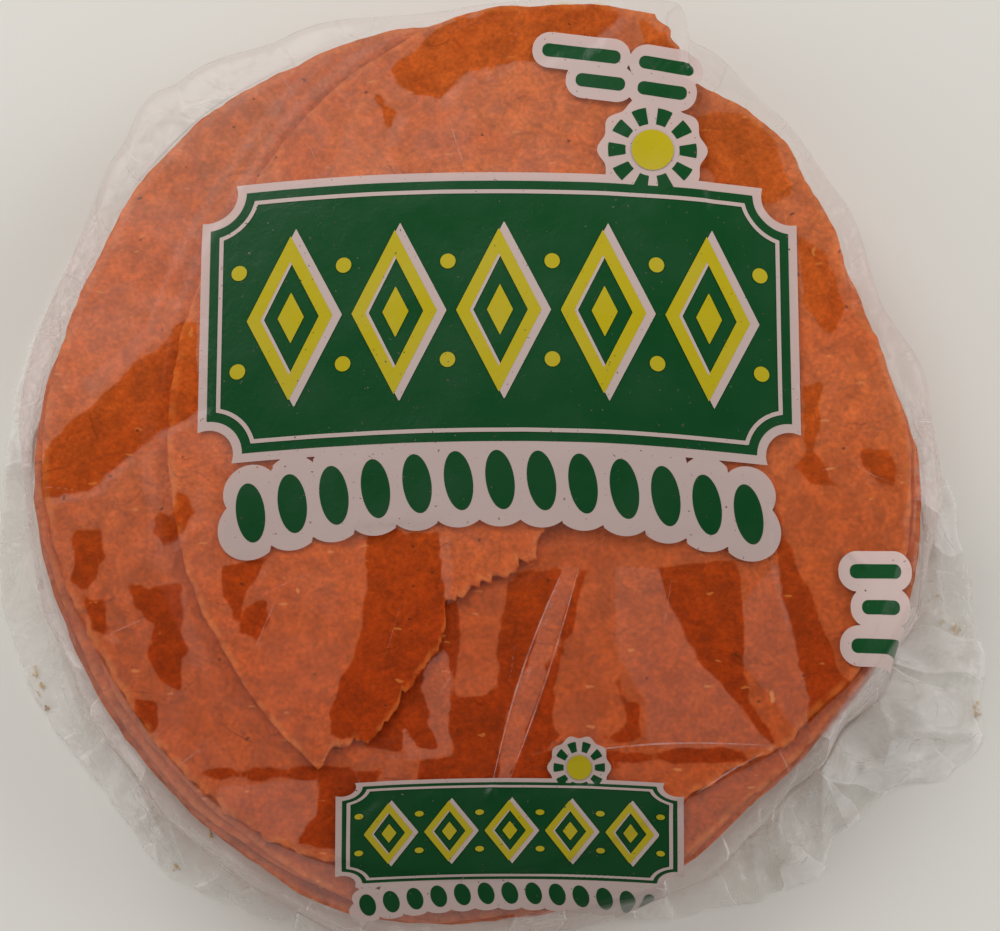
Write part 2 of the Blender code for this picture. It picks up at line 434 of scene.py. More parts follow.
def layer_height(x, y, layer):
    """The upper face of a tortilla, counted down from 0, the torn one on top."""
    angle = np.degrees(np.arctan2(y, x))
    share = np.hypot(x, y) / shoulder_reach(angle)
    depth = layer / TORTILLA_COUNT
    droop = RIM_DROOP * (1.0 - depth) * smooth((share - 0.55) / 0.45)
    wave = WAVE * (1.0 - depth) * np.sin(0.075 * x + 0.4) * np.cos(0.062 * y - 0.8)
    return STACK_HEIGHT - layer * TORTILLA_PITCH - droop + wave


def uneven(x, y, size, seed):
    """Smooth random unevenness between -1 and 1, in bumps of a size."""
    lattice = np.random.default_rng(seed).uniform(-1.0, 1.0, (97, 97))
    column = np.floor(x / size).astype(int)
    row = np.floor(y / size).astype(int)
    across = smooth(x / size - column)
    along = smooth(y / size - row)
    near = mix(lattice[column % 97, row % 97], lattice[(column + 1) % 97, row % 97], across)
    far = mix(
        lattice[column % 97, (row + 1) % 97],
        lattice[(column + 1) % 97, (row + 1) % 97],
        across,
    )
    return mix(near, far, along)


def creased(x, y, size, seed):
    """Flat facets between -1 and 1 that meet in sharp creases, in cells of a size."""
    x = x + 0.55 * size * uneven(x, y, 2.3 * size, seed + 1)
    y = y + 0.55 * size * uneven(x, y, 2.1 * size, seed + 2)
    lattice = np.random.default_rng(seed).uniform(-1.0, 1.0, (97, 97))
    column = np.floor(x / size).astype(int)
    row = np.floor(y / size).astype(int)
    across, along = x / size - column, y / size - row
    near_left, near_right, far_left, far_right = (
        lattice[(column + i) % 97, (row + j) % 97] for j in (0, 1) for i in (0, 1)
    )
    rising = np.where(
        across > along,
        near_left + across * (near_right - near_left) + along * (far_right - near_right),
        near_left + along * (far_left - near_left) + across * (far_right - far_left),
    )
    falling = np.where(
        across + along < 1.0,
        near_left + across * (near_right - near_left) + along * (far_left - near_left),
        far_right + (1.0 - across) * (far_left - far_right) + (1.0 - along) * (near_right - far_right),
    )
    return np.where(lattice[7 * column % 97, 5 * row % 97] > 0.0, rising, falling)


def depth_inside(x, y, outline):
    """The distance from a closed outline, above 0 inside it."""
    nearest = np.full(np.shape(x), 1e9)
    crossings = np.zeros(np.shape(x), int)
    for (x0, y0), (x1, y1) in zip(outline, outline[1:] + outline[:1]):
        run, rise = x1 - x0, y1 - y0
        share = np.clip(((x - x0) * run + (y - y0) * rise) / (run**2 + rise**2), 0.0, 1.0)
        nearest = np.minimum(nearest, np.hypot(x - x0 - share * run, y - y0 - share * rise))
        spans = (y0 > y) != (y1 > y)
        beside = x < x0 + (y - y0) * run / (rise if rise else 1e-9)
        crossings += spans & beside
    return np.where(crossings % 2 == 1, nearest, -nearest)


def clinging(x, y):
    """How far inside a clinging patch a place lies, with an uneven edge."""
    depth = np.max([depth_inside(x, y, outline) for outline in CLINGING], axis=0)
    return depth + 0.6 * uneven(x, y, 3.6, 11) + 0.35 * uneven(x, y, 1.3, 12)


def milky(x, y):
    """How far inside a milky fold a place lies, with an uneven edge."""
    depth = np.max([depth_inside(x, y, outline) for outline in MILKY], axis=0)
    return depth + 0.25 * uneven(x, y, 1.6, 13)


def crease_height(x, y):
    """What the creases add to the film."""
    lift = np.zeros(np.shape(x))
    for (x0, y0), (x1, y1), height, half_width in CREASES:
        run, rise = x1 - x0, y1 - y0
        share = ((x - x0) * run + (y - y0) * rise) / (run**2 + rise**2)
        along = np.clip(share, 0.0, 1.0)
        away = np.hypot(x - x0 - along * run, y - y0 - along * rise)
        ends = smooth(np.minimum(share, 1.0 - share) / 0.12 + 0.35)
        lift = np.maximum(lift, height * ends * np.clip(1.0 - away / half_width, 0.0, 1.0))
    return lift


# ---------------------------------------------------------------- the film's shape


def film_top(x, y, share):
    """The film over the stack, at a share of the way from the axis to the shoulder."""
    taut = smooth((y + 24.0) / 12.0) * smooth((x + 20.0) / 15.0)  # under the print the film spans the step
    cover = smooth(1.0 + (inside_torn(x, y) + 0.9) / mix(TEAR_BLEND, 26.0, taut))
    surface = layer_height(x, y, 1) + TORTILLA_PITCH * cover
    slack = smooth(-clinging(x, y) / 2.2)
    facets = np.abs(uneven(x + 0.6 * y, y - 0.4 * x, 13.0, 21))
    gap = 0.16 + slack * (0.35 - 0.22 * facets + 0.05 * uneven(x, y, 5.0, 22))
    drop = SHOULDER_DROP * smooth((share - 0.975) / 0.025) - 0.35
    return surface + gap + crease_height(x, y) * (0.35 + 0.65 * slack) - drop


def pleat(angle):
    """How far a pleat lifts the film at an angle."""
    lift = np.zeros(np.shape(angle))
    for centre, height, half_width in PLEATS:
        away = np.abs((angle - centre + 180.0) % 360.0 - 180.0)
        lift = lift + height * np.clip(1.0 - away / half_width, 0.0, 1.0)
    return lift


def ridges(angle, reach, size, seed):
    """Sharp little pleats that run outwards, from 0 to 1."""
    across = np.radians(angle) * 80.0 + 6.0 * uneven(reach, angle, 9.0, seed + 50)
    return np.clip(1.0 - 2.2 * np.abs(uneven(across, reach * 0.22, size, seed)), 0.0, 1.0)


def crumpled(angle):
    """How crumpled the film beside the stack is: smooth where it is drawn in, creased where loose."""
    return smooth((around(SLACK, angle) - 0.3) / 0.7)


def side_stations(angle):
    """The film beside the stack as a row of (reach, height), from the shoulder to its foot."""
    slack = around(SLACK, angle)
    shoulder = shoulder_reach(angle)
    lower = stack_reach(angle) + LEDGE_GAP
    ledge = np.maximum(lower, shoulder + LEDGE_GAP)
    furthest = np.maximum(around(HEM, angle), ledge + FOOT_LEAST)
    turn = np.radians(angle)
    rim = film_top(shoulder * np.cos(turn), shoulder * np.sin(turn), np.ones_like(angle))
    stations = [(shoulder, rim), (mix(shoulder, ledge, 0.62) + 0.3, rim - 0.8)]
    for tucked, loose, height, share in SIDE:
        tucked_reach = mix(lower, furthest, tucked)
        loose_reach = mix(ledge, ledge + FOOT_SPREAD, loose) + share * PLEAT_BOW * pleat(angle)
        stations.append((mix(tucked_reach, loose_reach, slack), np.minimum(height, rim - 2.0)))
    return stations


def hem_edge(angle, foot):
    """The outer edge of the bag: the skirt's hem, or the film turned in under the stack."""
    edge = np.maximum(around(HEM, angle), foot + 0.6)
    return mix(foot - TUCK, edge, smooth(3.0 * around(SLACK, angle)))


def through(stations, share):
    """A place on the smooth curve through the stations, at a share of its way."""
    last = len(stations) - 1
    step = min(int(share * last), last - 1)
    part = share * last - step
    nearby = (stations[min(max(step + i, 0), last)] for i in (-1, 0, 1, 2))
    before, start, end, after = (np.array(np.broadcast_arrays(*place)) for place in nearby)
    return 0.5 * (
        2.0 * start
        + (end - before) * part
        + (2.0 * before - 5.0 * start + 4.0 * end - after) * part**2
        + (3.0 * start - before - 3.0 * end + after) * part**3
    )


def side_point(angle, share):
    reach, height = through(side_stations(angle), share)
    away = math.sin(math.pi * min(share * 1.1, 1.0))
    turn = np.radians(angle)
    x = reach * np.cos(turn) + 0.5 * height
    y = reach * np.sin(turn) - 0.4 * height
    crumple = np.maximum(0.45 + 0.7 * creased(x, y, 11.0, 31) + 0.25 * creased(x, y, 5.0, 34), 0.0)
    return reach + away * (0.15 + 0.85 * crumpled(angle)) * crumple, height


def skirt_point(angle, share):
    """One ring of the skirt, from the foot of the side (0) to the hem (1)."""
    slack = around(SLACK, angle)
    foot, foot_height = side_point(angle, 1.0)
    wobble = 0.35 * uneven(angle, angle * 0.0, 2.1, 41) + 0.2 * uneven(angle, angle * 0.0, 0.9, 42)
    hem = hem_edge(angle, foot) + (wobble - 0.4) * smooth(3.0 * slack)
    reach = mix(foot, np.maximum(hem, foot - TUCK), share)
    flat = mix(foot_height, mix(HEM_LIFT, FILM_FLAT, slack), smooth(share * 1.6))
    hump = pleat(angle) * slack * math.sin(math.pi * min(share + 0.25, 1.0))
    fall = 1.0 - 0.65 * share
    turn = np.radians(angle)
    x, y = reach * np.cos(turn), reach * np.sin(turn)
    crumple = 0.9 * ridges(angle, reach, 7.5, 43) + 0.5 + 1.0 * creased(x, y, 15.0, 45)
    crumple = crumple + 0.25 * creased(x, y, 6.0, 48)
    crumple = mix(0.4, np.maximum(crumple, 0.0), crumpled(angle))
    height = flat + hump + slack * (fall * crumple + crease_height(x, y))
    return reach, mix(height, 0.45, smooth((share - 0.93) / 0.07) * 0.85)


# ---------------------------------------------------------------- nets and meshes


def disc_net(cells):
    """An even net over a unit disc: places as (share, angle), faces, and the rim's order."""
    steps = np.linspace(-1.0, 1.0, cells + 1)
    a, b = np.meshgrid(steps, steps, indexing="ij")
    wide = np.abs(a) > np.abs(b)
    share = np.where(wide, a, b)
    safe = np.where(share == 0.0, 1.0, share)
    angle = np.where(wide, 45.0 * b / safe, 90.0 - 45.0 * a / safe)
    angle = np.where(share < 0.0, angle + 180.0, angle) % 360.0
    index = np.arange((cells + 1) ** 2).reshape(cells + 1, cells + 1)
    faces = np.stack([index[:-1, :-1], index[1:, :-1], index[1:, 1:], index[:-1, 1:]], axis=-1)
    middles = (steps[:-1] + steps[1:]) / 2.0
    crossing = np.outer(middles, middles) < 0.0
    faces[crossing] = np.roll(faces[crossing], -1, axis=1)  # so that corner 0 faces the middle
    rim = np.concatenate([index[-1, :-1], index[:0:-1, -1], index[0, :0:-1], index[:-1, 0]])
    return np.abs(share).ravel(), angle.ravel(), faces.reshape(-1, 4), rim


def band(inner, outer):
    """Faces between two closed rings of points."""
    return np.stack([inner, outer, np.roll(outer, -1), np.roll(inner, -1)], axis=1)


def bag_offset():
    """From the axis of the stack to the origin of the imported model, in millimetres."""
    angle = np.arange(0.0, 360.0, 2.5)
    turn = np.radians(angle)
    sides = [reach for reach, _ in side_stations(angle)]
    reach = np.max(sides + [hem_edge(angle, sides[-1])], axis=0)
    middle = (BAG_LOW + BAG_HIGH) / 2.0 / MM
    x, y = reach * np.cos(turn), reach * np.sin(turn)
    return np.array(
        (middle.x - (x.min() + x.max()) / 2.0, middle.y - (y.min() + y.max()) / 2.0, BAG_LOW.z / MM)
    )


OFFSET = bag_offset()


def mesh_piece(name, points, faces, materials, fields=None, second_from=None):
    """A named piece from points in millimetres, which rides on the stack. Its faces from a count
    onwards can have the second of two materials."""
    mesh = bpy.data.meshes.new(name)
    mesh.from_pydata(((points + OFFSET) * MM).tolist(), [], faces.tolist())
    for material in materials:
        mesh.materials.append(material)
    if second_from is not None:
        has_second = (np.arange(len(faces)) >= second_from).astype(np.int32)
        mesh.polygons.foreach_set("material_index", has_second)
    for field, values in (fields or {}).items():
        attribute = mesh.attributes.new(field, "FLOAT", "POINT")
        attribute.data.foreach_set("value", values.astype(np.float32))
    mesh.shade_smooth()
    piece = bpy.data.objects.new(name, mesh)
    bpy.context.scene.collection.objects.link(piece)
    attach(piece, "root")
    return piece


def film_net():
    """The film over the stack, down its side and out to the hem: points, faces, and how many of
    the faces lie on the stack."""
    cells, side_rings, skirt_rings = 196, 26, 34
    share, angle, faces, rim = disc_net(cells)
    reach = share * shoulder_reach(angle)
    turn = np.radians(angle)
    x, y = reach * np.cos(turn), reach * np.sin(turn)
    rows = [np.stack([x, y, film_top(x, y, share)], axis=1)]
    nets = [faces]
    ring = rim
    count = len(x)
    rim_angle = angle[rim]
    rim_turn = np.radians(rim_angle)
    shares = [("side", (i + 1) / side_rings) for i in range(side_rings)]
    shares += [("skirt", (i + 1) / skirt_rings) for i in range(skirt_rings)]
    for part, along in shares:
        reach, height = (side_point if part == "side" else skirt_point)(rim_angle, along)
        rows.append(np.stack([reach * np.cos(rim_turn), reach * np.sin(rim_turn), height], axis=1))
        next_ring = np.arange(count, count + len(rim))
        nets.append(band(ring, next_ring))
        ring = next_ring
        count += len(rim)
    squares = np.concatenate(nets)
    triangles = np.stack([squares[:, [0, 1, 2]], squares[:, [0, 2, 3]]], axis=1).reshape(-1, 3)
    return np.concatenate(rows), triangles, 2 * len(faces)


def fine_creases():
    """Many faint creases where the film is slack: (start, end, half width)."""
    random = np.random.default_rng(17)
    lines = [(start, end, 0.04 + 0.17 * height) for start, end, height, _ in CREASES if height > 0.55]
    for _ in range(110):
        reach = 90.0 * math.sqrt(random.uniform(0.05, 1.0))
        turn = random.uniform(0.0, 2.0 * math.pi)
        heading = turn + random.normal(0.0, 0.55)
        half = random.uniform(1.5, 7.0)
        x, y = reach * math.cos(turn), reach * math.sin(turn)
        start = (x - half * math.cos(heading), y - half * math.sin(heading))
        end = (x + half * math.cos(heading), y + half * math.sin(heading))
        lines.append((start, end, random.uniform(0.03, 0.09)))
    return lines


def crease_line(x, y):
    """How far inside the pale line of a crease a place lies: partly whitening, partly a painted highlight."""
    depth = np.full(np.shape(x), -9.0)
    for (x0, y0), (x1, y1), half_width in fine_creases():
        run, rise = x1 - x0, y1 - y0
        near = np.abs(x - (x0 + x1) / 2.0) < abs(run) / 2.0 + 2.0
        near &= np.abs(y - (y0 + y1) / 2.0) < abs(rise) / 2.0 + 2.0
        across, along = x[near] - x0, y[near] - y0
        share = np.clip((across * run + along * rise) / (run**2 + rise**2), 0.0, 1.0)
        bend = 0.035 * math.hypot(run, rise) * np.sin(np.pi * share) * math.sin(31.0 * (x0 + y1))
        side = (along * run - across * rise) / math.hypot(run, rise) - bend
        past = np.hypot(across - share * run, along - share * rise)
        away = np.where((share > 0.0) & (share < 1.0), np.abs(side), past)
        taper = 0.25 + 0.75 * np.sin(np.pi * share)
        depth[near] = np.maximum(depth[near], half_width * taper - away)
    return depth


# ---------------------------------------------------------------- tortillas


def torn_reach(angle):
    """The outline of the torn tortilla, seen from its seed."""
    turn = np.radians(angle)
    centre = (TORN_CENTRE[0] - TORN_SEED[0], TORN_CENTRE[1] - TORN_SEED[1])
    reach = disc_reach(angle, centre, 72.8)
    for _ in range(3):
        x = TORN_SEED[0] + reach * np.cos(turn) - TORN_CENTRE[0]
        y = TORN_SEED[1] + reach * np.sin(turn) - TORN_CENTRE[1]
        radius = around(TORN_EDGE, np.degrees(np.arctan2(y, x)))
        reach = reach + (radius - np.hypot(x, y)) * 0.9
    torn = np.full(np.shape(angle), 1e9)
    for (x0, y0), (x1, y1) in zip(TEAR, TEAR[1:]):
        run, rise = x1 - x0, y1 - y0
        across = np.cos(turn) * rise - np.sin(turn) * run
        across = np.where(np.abs(across) < 1e-9, 1e-9, across)
        from_x, from_y = x0 - TORN_SEED[0], y0 - TORN_SEED[1]
        away = (from_x * rise - from_y * run) / across
        along = (from_x * np.sin(turn) - from_y * np.cos(turn)) / across
        hit = (away > 0.0) & (along >= 0.0) & (along <= 1.0)
        torn = np.where(hit, np.minimum(torn, away), torn)
    is_torn = torn < reach
    reach = np.minimum(reach, torn)
    x, y = TORN_SEED[0] + reach * np.cos(turn), TORN_SEED[1] + reach * np.sin(turn)
    jagged = 0.75 * uneven(x, y, 2.6, 61) + 0.95 * creased(x, y, 1.1, 62) + 0.5 * creased(x, y, 0.55, 67)
    ragged = 0.22 * uneven(x, y, 4.0, 63) + 0.12 * uneven(x, y, 1.1, 64)
    return reach + np.where(is_torn, jagged, ragged)


def second_edge(angle):
    """The outline of the second tortilla seen from the axis, ragged at the near side."""
    reach = second_reach(angle)
    turn = np.radians(angle)
    x, y = reach * np.cos(turn), reach * np.sin(turn)
    worn = smooth((np.minimum(angle - 190.0, 262.0 - angle)) / 12.0)
    worn = worn + smooth((np.minimum(angle - 294.0, 320.0 - angle)) / 6.0)
    worn = 0.3 + 0.9 * np.clip(worn, 0.0, 1.0)
    return reach - 0.35 + worn * (0.6 * uneven(x, y, 3.2, 65) + 0.4 * uneven(x, y, 1.1, 66))


def lower_edge(layer):
    """The outline of a lower tortilla, seen from its own centre."""

    def reach(angle):
        turn = np.radians(angle)
        x, y = 70.0 * np.cos(turn), 70.0 * np.sin(turn)
        worn = 0.45 * uneven(x, y, 14.0, 70 + layer) + 0.25 * uneven(x, y, 2.2, 90 + layer)
        under_overhang = 0.55 * np.maximum(shoulder_reach(angle) - lower_reach(angle), 0.0)
        inset = 0.4 + 0.5 * max(0.0, 1.0 - (layer - 2) / 3.0)
        return around(LOWER_EDGE, angle) - inset + under_overhang + worn

    return reach


def relief(x, y, strength, seed):
    """Blisters and pits in a tortilla's face: mostly down, so the layers stay apart."""
    blisters = np.clip(uneven(x, y, 5.5, seed), -1.0, 0.5)
    pits = np.abs(uneven(x, y, 2.1, seed + 1))
    grain = uneven(x, y, 0.95, seed + 2)
    across, along = x + 2.5 * uneven(x, y, 6.0, seed + 5), y + 2.5 * uneven(x, y, 7.0, seed + 6)
    wrinkles = np.clip(1.0 - 3.2 * np.abs(uneven(across + 0.4 * along, along, 9.0, seed + 3)), 0.0, 1.0)
    wrinkles = wrinkles * smooth(0.6 + 1.2 * uneven(x, y, 16.0, seed + 4))
    return strength * (0.20 * blisters - 0.14 * pits + 0.05 * grain - 0.24 * wrinkles)


def tortilla_mesh(layer, cells, centre, outline, strength):
    """One closed tortilla: points, faces, and how far each point lies from the rim."""
    share, angle, faces, rim = disc_net(cells)
    reach = outline(angle)
    thickness = TORTILLA_PITCH - LAYER_GAP
    bottom = faces[:, ::-1] + len(share)

    def face_points(inset, down, scale):
        turn = np.radians(angle)
        inner = share * (reach - inset)
        x, y = centre[0] + inner * np.cos(turn), centre[1] + inner * np.sin(turn)
        height = layer_height(x, y, layer) - down
        return np.stack([x, y, height + relief(x, y, scale, 7 * layer + 3)], axis=1)

    def ring_points(inset, down):
        turn = np.radians(angle[rim])
        edge = reach[rim] - inset
        x, y = centre[0] + edge * np.cos(turn), centre[1] + edge * np.sin(turn)
        return np.stack([x, y, layer_height(x, y, layer) - down], axis=1)

    points = [face_points(0.35, 0.0, strength), face_points(0.35, thickness, 0.2)]
    nets = [faces, bottom]
    count = 2 * len(share)
    ring = rim
    from_rim = [(1.0 - share) * reach, (1.0 - share) * reach]
    for inset, down in ((0.08, 0.16), (0.0, 0.45), (0.05, 0.85), (0.15, 1.15)):
        points.append(ring_points(inset, down))
        next_ring = np.arange(count, count + len(rim))
        nets.append(band(ring, next_ring))
        from_rim.append(np.zeros(len(rim)))
        ring = next_ring
        count += len(rim)
    nets.append(band(ring, rim + len(share)))
    return np.concatenate(points), np.concatenate(nets), np.concatenate(from_rim)


# ---------------------------------------------------------------- the print


def box_depth(x, y, middle, size, corner):
    """The distance inside a box with rounded corners."""
    across = np.abs(x - middle[0]) - size[0] / 2.0 + corner
    along = np.abs(y - middle[1]) - size[1] / 2.0 + corner
    outside = np.hypot(np.maximum(across, 0.0), np.maximum(along, 0.0))
    return corner - outside - np.minimum(np.maximum(across, along), 0.0)


def disc_depth(x, y, middle, radius):
    return radius - np.hypot(x - middle[0], y - middle[1])


def lozenge_depth(x, y, middle, half_width, half_height):
    lean = math.hypot(half_width, half_height)
    across = np.abs(x - middle[0]) * half_height
    along = np.abs(y - middle[1]) * half_width
    return (half_width * half_height - across - along) / lean


def turned(x, y, middle, degrees):
    """Places measured from a middle, along a direction turned by some degrees."""
    turn = math.radians(degrees)
    across = (x - middle[0]) * math.cos(turn) + (y - middle[1]) * math.sin(turn)
    along = (y - middle[1]) * math.cos(turn) - (x - middle[0]) * math.sin(turn)
    return across, along


class Label:
    """One printed label: an arched green panel of lozenges, with a scalloped band below."""

    def __init__(self, middle, scale, squeeze):
        self.middle = middle
        self.scale = scale
        self.squeeze = squeeze

    def own(self, x, y):
        """Places in the label's own millimetres, with its arch taken out."""
        across = (x - self.middle[0]) / self.scale
        along = (y - self.middle[1]) / (self.scale * self.squeeze)
        return across, along + 3.0 * (across / 51.0) ** 2

    def panel(self, x, y, grow):
        across, along = self.own(x, y)
        depth = box_depth(across, along, (0.0, 0.0), (98.0 + 2 * grow, 45.0 + 2 * grow), 3.0)
        for side in (-1.0, 1.0):
            for end in (-1.0, 1.0):
                corner = disc_depth(across, along, (side * 49.0, end * 22.5), 6.0 - grow)
                depth = np.minimum(depth, -corner)
        return depth * self.scale * self.squeeze

    def line(self, x, y):
        """The thin light line inside the panel's edge, no thinner on a squeezed label."""
        depth = self.panel(x, y, 0.0) / (self.scale * self.squeeze)
        return (0.35 / self.squeeze - np.abs(depth - 1.9)) * self.scale

    def lozenges(self, x, y, shift, outer, inner):
        across, along = self.own(x, y)
        across = across - shift
        nearest = np.clip(np.round(across / 17.6), -2, 2) * 17.6
        rim = lozenge_depth(across, along, (nearest, 0.0), *outer)
        hollow = lozenge_depth(across, along, (nearest, 0.0), *inner)
        return np.minimum(rim, -hollow) * self.scale

    def hearts(self, x, y):
        """The small lozenges in the middle of the large ones, and the studs between them."""
        across, along = self.own(x, y)
        nearest = np.clip(np.round(across / 17.6), -2, 2) * 17.6
        hearts = lozenge_depth(across, along, (nearest, 0.0), 2.2, 4.4)
        between = (np.clip(np.round(across / 17.6 - 0.5), -3, 2) + 0.5) * 17.6
        studs = disc_depth(across, np.abs(along), (between, 8.5), 1.3)
        return np.maximum(hearts, studs) * self.scale

    def band_line(self, across):
        return -33.5 + 4.5 * np.cos(across / 30.0)

    def scallops(self, x, y):
        across, along = self.own(x, y)
        nearest = np.clip(np.round(across / 6.9), -6, 6) * 6.9
        middle = self.band_line(nearest)
        lobes = disc_depth(across, along, (nearest, middle - 2.5), 5.4)
        lobes = np.maximum(lobes, disc_depth(across, along, (nearest, middle + 3.5), 4.6))
        return np.maximum(lobes, 5.0 - np.maximum(np.abs(across) - 40.0, np.abs(along - self.band_line(across)))) * self.scale * self.squeeze

    def drops(self, x, y):
        across, along = self.own(x, y)
        nearest = np.clip(np.round(across / 6.9), -6, 6) * 6.9
        middle = self.band_line(nearest)
        leaf = disc_depth((across - nearest) * 2.1 + 0.25 * (along - middle), along, (0.0, middle), 5.0)
        return leaf * 0.55 * self.scale


class Sun:
    """A printed sun: a scalloped white round, with a ring of green leaves about a yellow disc."""

    def __init__(self, middle, radius):
        self.middle = middle
        self.radius = radius

    def ground(self, x, y):
        angle = np.arctan2(y - self.middle[1], x - self.middle[0])
        edge = self.radius * (1.0 + 0.05 * np.cos(10.0 * angle))
        return edge - np.hypot(x - self.middle[0], y - self.middle[1])

    def leaves(self, x, y):
        angle = np.arctan2(y - self.middle[1], x - self.middle[0])
        reach = np.hypot(x - self.middle[0], y - self.middle[1]) / self.radius
        width = 0.5 + 0.5 * np.cos(10.0 * angle)
        span = 1.0 - np.abs(reach - 0.68) / 0.26
        return (np.minimum(width * 1.5, 1.7 * span) - 0.62) * self.radius * 0.16

    def disc(self, x, y):
        return disc_depth(x, y, self.middle, self.radius * 0.40)

    def ring(self, x, y):
        return 0.35 - np.abs(disc_depth(x, y, self.middle, self.radius * 0.29))


def bars_depth(x, y, bars, half_height):
    """Rounded bars, each as (middle, length, tilt)."""
    depth = np.full(np.shape(x), -1e9)
    for middle, length, tilt in bars:
        across, along = turned(x, y, middle, tilt)
        size = (length, 2.0 * half_height)
        depth = np.maximum(depth, box_depth(across, along, (0.0, 0.0), size, half_height * 0.9))
    return depth


MAIN_LABEL = Label((0.0, 23.5), 1.0, 1.0)
SMALL_LABEL = Label((1.6, -63.2), 0.56, 0.62)
MAIN_SUN = Sun((26.0, 51.6), 9.0)
SMALL_SUN = Sun((13.0, -53.0), 5.0)

# Plain bars where small printed lines would be: (middle, length, tilt)
FAR_BARS = (
    ((14.0, 69.0), 13.5, -7.0),
    ((28.6, 66.8), 9.5, -10.0),
    ((17.2, 63.8), 8.5, -7.0),
    ((27.8, 62.3), 8.5, -8.0),
)
RIGHT_BARS = (
    ((62.4, -20.6), 8.6, 0.0),
    ((63.2, -26.6), 6.4, 0.0),
    ((62.8, -33.0), 9.4, 0.0),
)


def white_ground(x, y):
    """All the white backing."""
    depth = np.maximum(MAIN_LABEL.panel(x, y, 1.5), MAIN_LABEL.scallops(x, y))
    depth = np.maximum(depth, SMALL_LABEL.panel(x, y, 1.9))
    depth = np.maximum(depth, SMALL_LABEL.scallops(x, y))
    depth = np.maximum(depth, MAIN_SUN.ground(x, y))
    depth = np.maximum(depth, SMALL_SUN.ground(x, y))
    depth = np.maximum(depth, bars_depth(x, y, FAR_BARS, 1.6) + 1.7)
    return np.maximum(depth, bars_depth(x, y, RIGHT_BARS, 1.5) + 1.9)


def green_fields(x, y):
    """All the green."""
    depth = np.maximum(MAIN_LABEL.panel(x, y, 0.0), MAIN_LABEL.drops(x, y))
    depth = np.maximum(depth, SMALL_LABEL.panel(x, y, 0.0))
    depth = np.maximum(depth, SMALL_LABEL.drops(x, y))
    depth = np.maximum(depth, MAIN_SUN.leaves(x, y))
    depth = np.maximum(depth, SMALL_SUN.leaves(x, y))
    depth = np.maximum(depth, bars_depth(x, y, FAR_BARS, 1.2))
    return np.maximum(depth, bars_depth(x, y, RIGHT_BARS, 1.2))


def white_details(x, y):
    """The white that lies on the green."""
    depth = np.maximum(MAIN_LABEL.line(x, y), SMALL_LABEL.line(x, y))
    for label in (MAIN_LABEL, SMALL_LABEL):
        shadow = label.lozenges(x, y, 0.7, (7.9, 15.4), (5.2, 10.6))
        depth = np.maximum(depth, shadow)
    return depth


def yellow_details(x, y):
    depth = np.maximum(MAIN_SUN.disc(x, y), SMALL_SUN.disc(x, y))
    for label in (MAIN_LABEL, SMALL_LABEL):
        depth = np.maximum(depth, label.lozenges(x, y, -0.2, (7.2, 14.2), (4.9, 9.8)))
        depth = np.maximum(depth, label.hearts(x, y))
    return depth


def split_in_four(soup):
    """Each triangle as four, through the middles of its sides."""
    a, b, c = soup[:, 0], soup[:, 1], soup[:, 2]
    ab, bc, ca = (a + b) / 2.0, (b + c) / 2.0, (c + a) / 2.0
    parts = ((a, ab, ca), (ab, b, bc), (ca, bc, c), (ab, bc, ca))
    return np.concatenate([np.stack(part, axis=1) for part in parts])


def clip(soup, depth):
    """The parts of the triangles where the depth is above 0."""
    inside = depth > 0.0
    whole = [soup[inside.all(axis=1)]]
    for corners in (1, 2):
        chosen = inside.sum(axis=1) == corners
        part, value, flag = soup[chosen], depth[chosen], inside[chosen]
        odd = np.argmax(flag if corners == 1 else ~flag, axis=1)
        order = (odd[:, None] + np.arange(3)) % 3
        rows = np.arange(len(part))[:, None]
        part, value = part[rows, order], value[rows, order]
        cut = [
            part[:, 0] + (part[:, i] - part[:, 0]) * (value[:, 0] / (value[:, 0] - value[:, i]))[:, None]
            for i in (1, 2)
        ]
        if corners == 1:
            whole.append(np.stack([part[:, 0], cut[0], cut[1]], axis=1))
        else:
            whole.append(np.stack([cut[0], part[:, 1], part[:, 2]], axis=1))
            whole.append(np.stack([cut[0], part[:, 2], cut[1]], axis=1))
    return np.concatenate(whole)


def printed(soup, depth_of, lift):
    """The part of the film inside a printed shape, lifted off it: triangles as (n, 3, 3)."""
    kept = []
    for fineness in (1.3, 0.65, 0.0):
        depth = depth_of(soup[:, :, 0], soup[:, :, 1])
        if fineness == 0.0:
            kept.append(clip(soup, depth))
            break
        kept.append(soup[depth.min(axis=1) > fineness])
        soup = split_in_four(soup[(depth.min(axis=1) <= fineness) & (depth.max(axis=1) > -fineness)])
    triangles = np.concatenate(kept)
    return triangles[:, :, :3] + lift * triangles[:, :, 3:]


def film_soup(points, triangles, lowest):
    """The film's triangles above a height, each corner as (place, normal)."""
    corners = points[triangles]
    facing = np.cross(corners[:, 1] - corners[:, 0], corners[:, 2] - corners[:, 0])
    facing /= np.linalg.norm(facing, axis=1)[:, None] + 1e-12
    normals = np.zeros_like(points)
    for i in range(3):
        np.add.at(normals, triangles[:, i], facing)
    normals /= np.linalg.norm(normals, axis=1)[:, None] + 1e-12
    soup = np.concatenate([corners, normals[triangles]], axis=2)
    soup = soup[(soup[:, :, 2].min(axis=1) > lowest) & (soup[:, :, 5].min(axis=1) > 0.0)]
    for _ in range(2):
        sides = soup[:, :, :3] - np.roll(soup[:, :, :3], 1, axis=1)
        long = np.linalg.norm(sides, axis=2).max(axis=1) > 1.8
        soup = np.concatenate([soup[~long], split_in_four(soup[long])])
    return soup


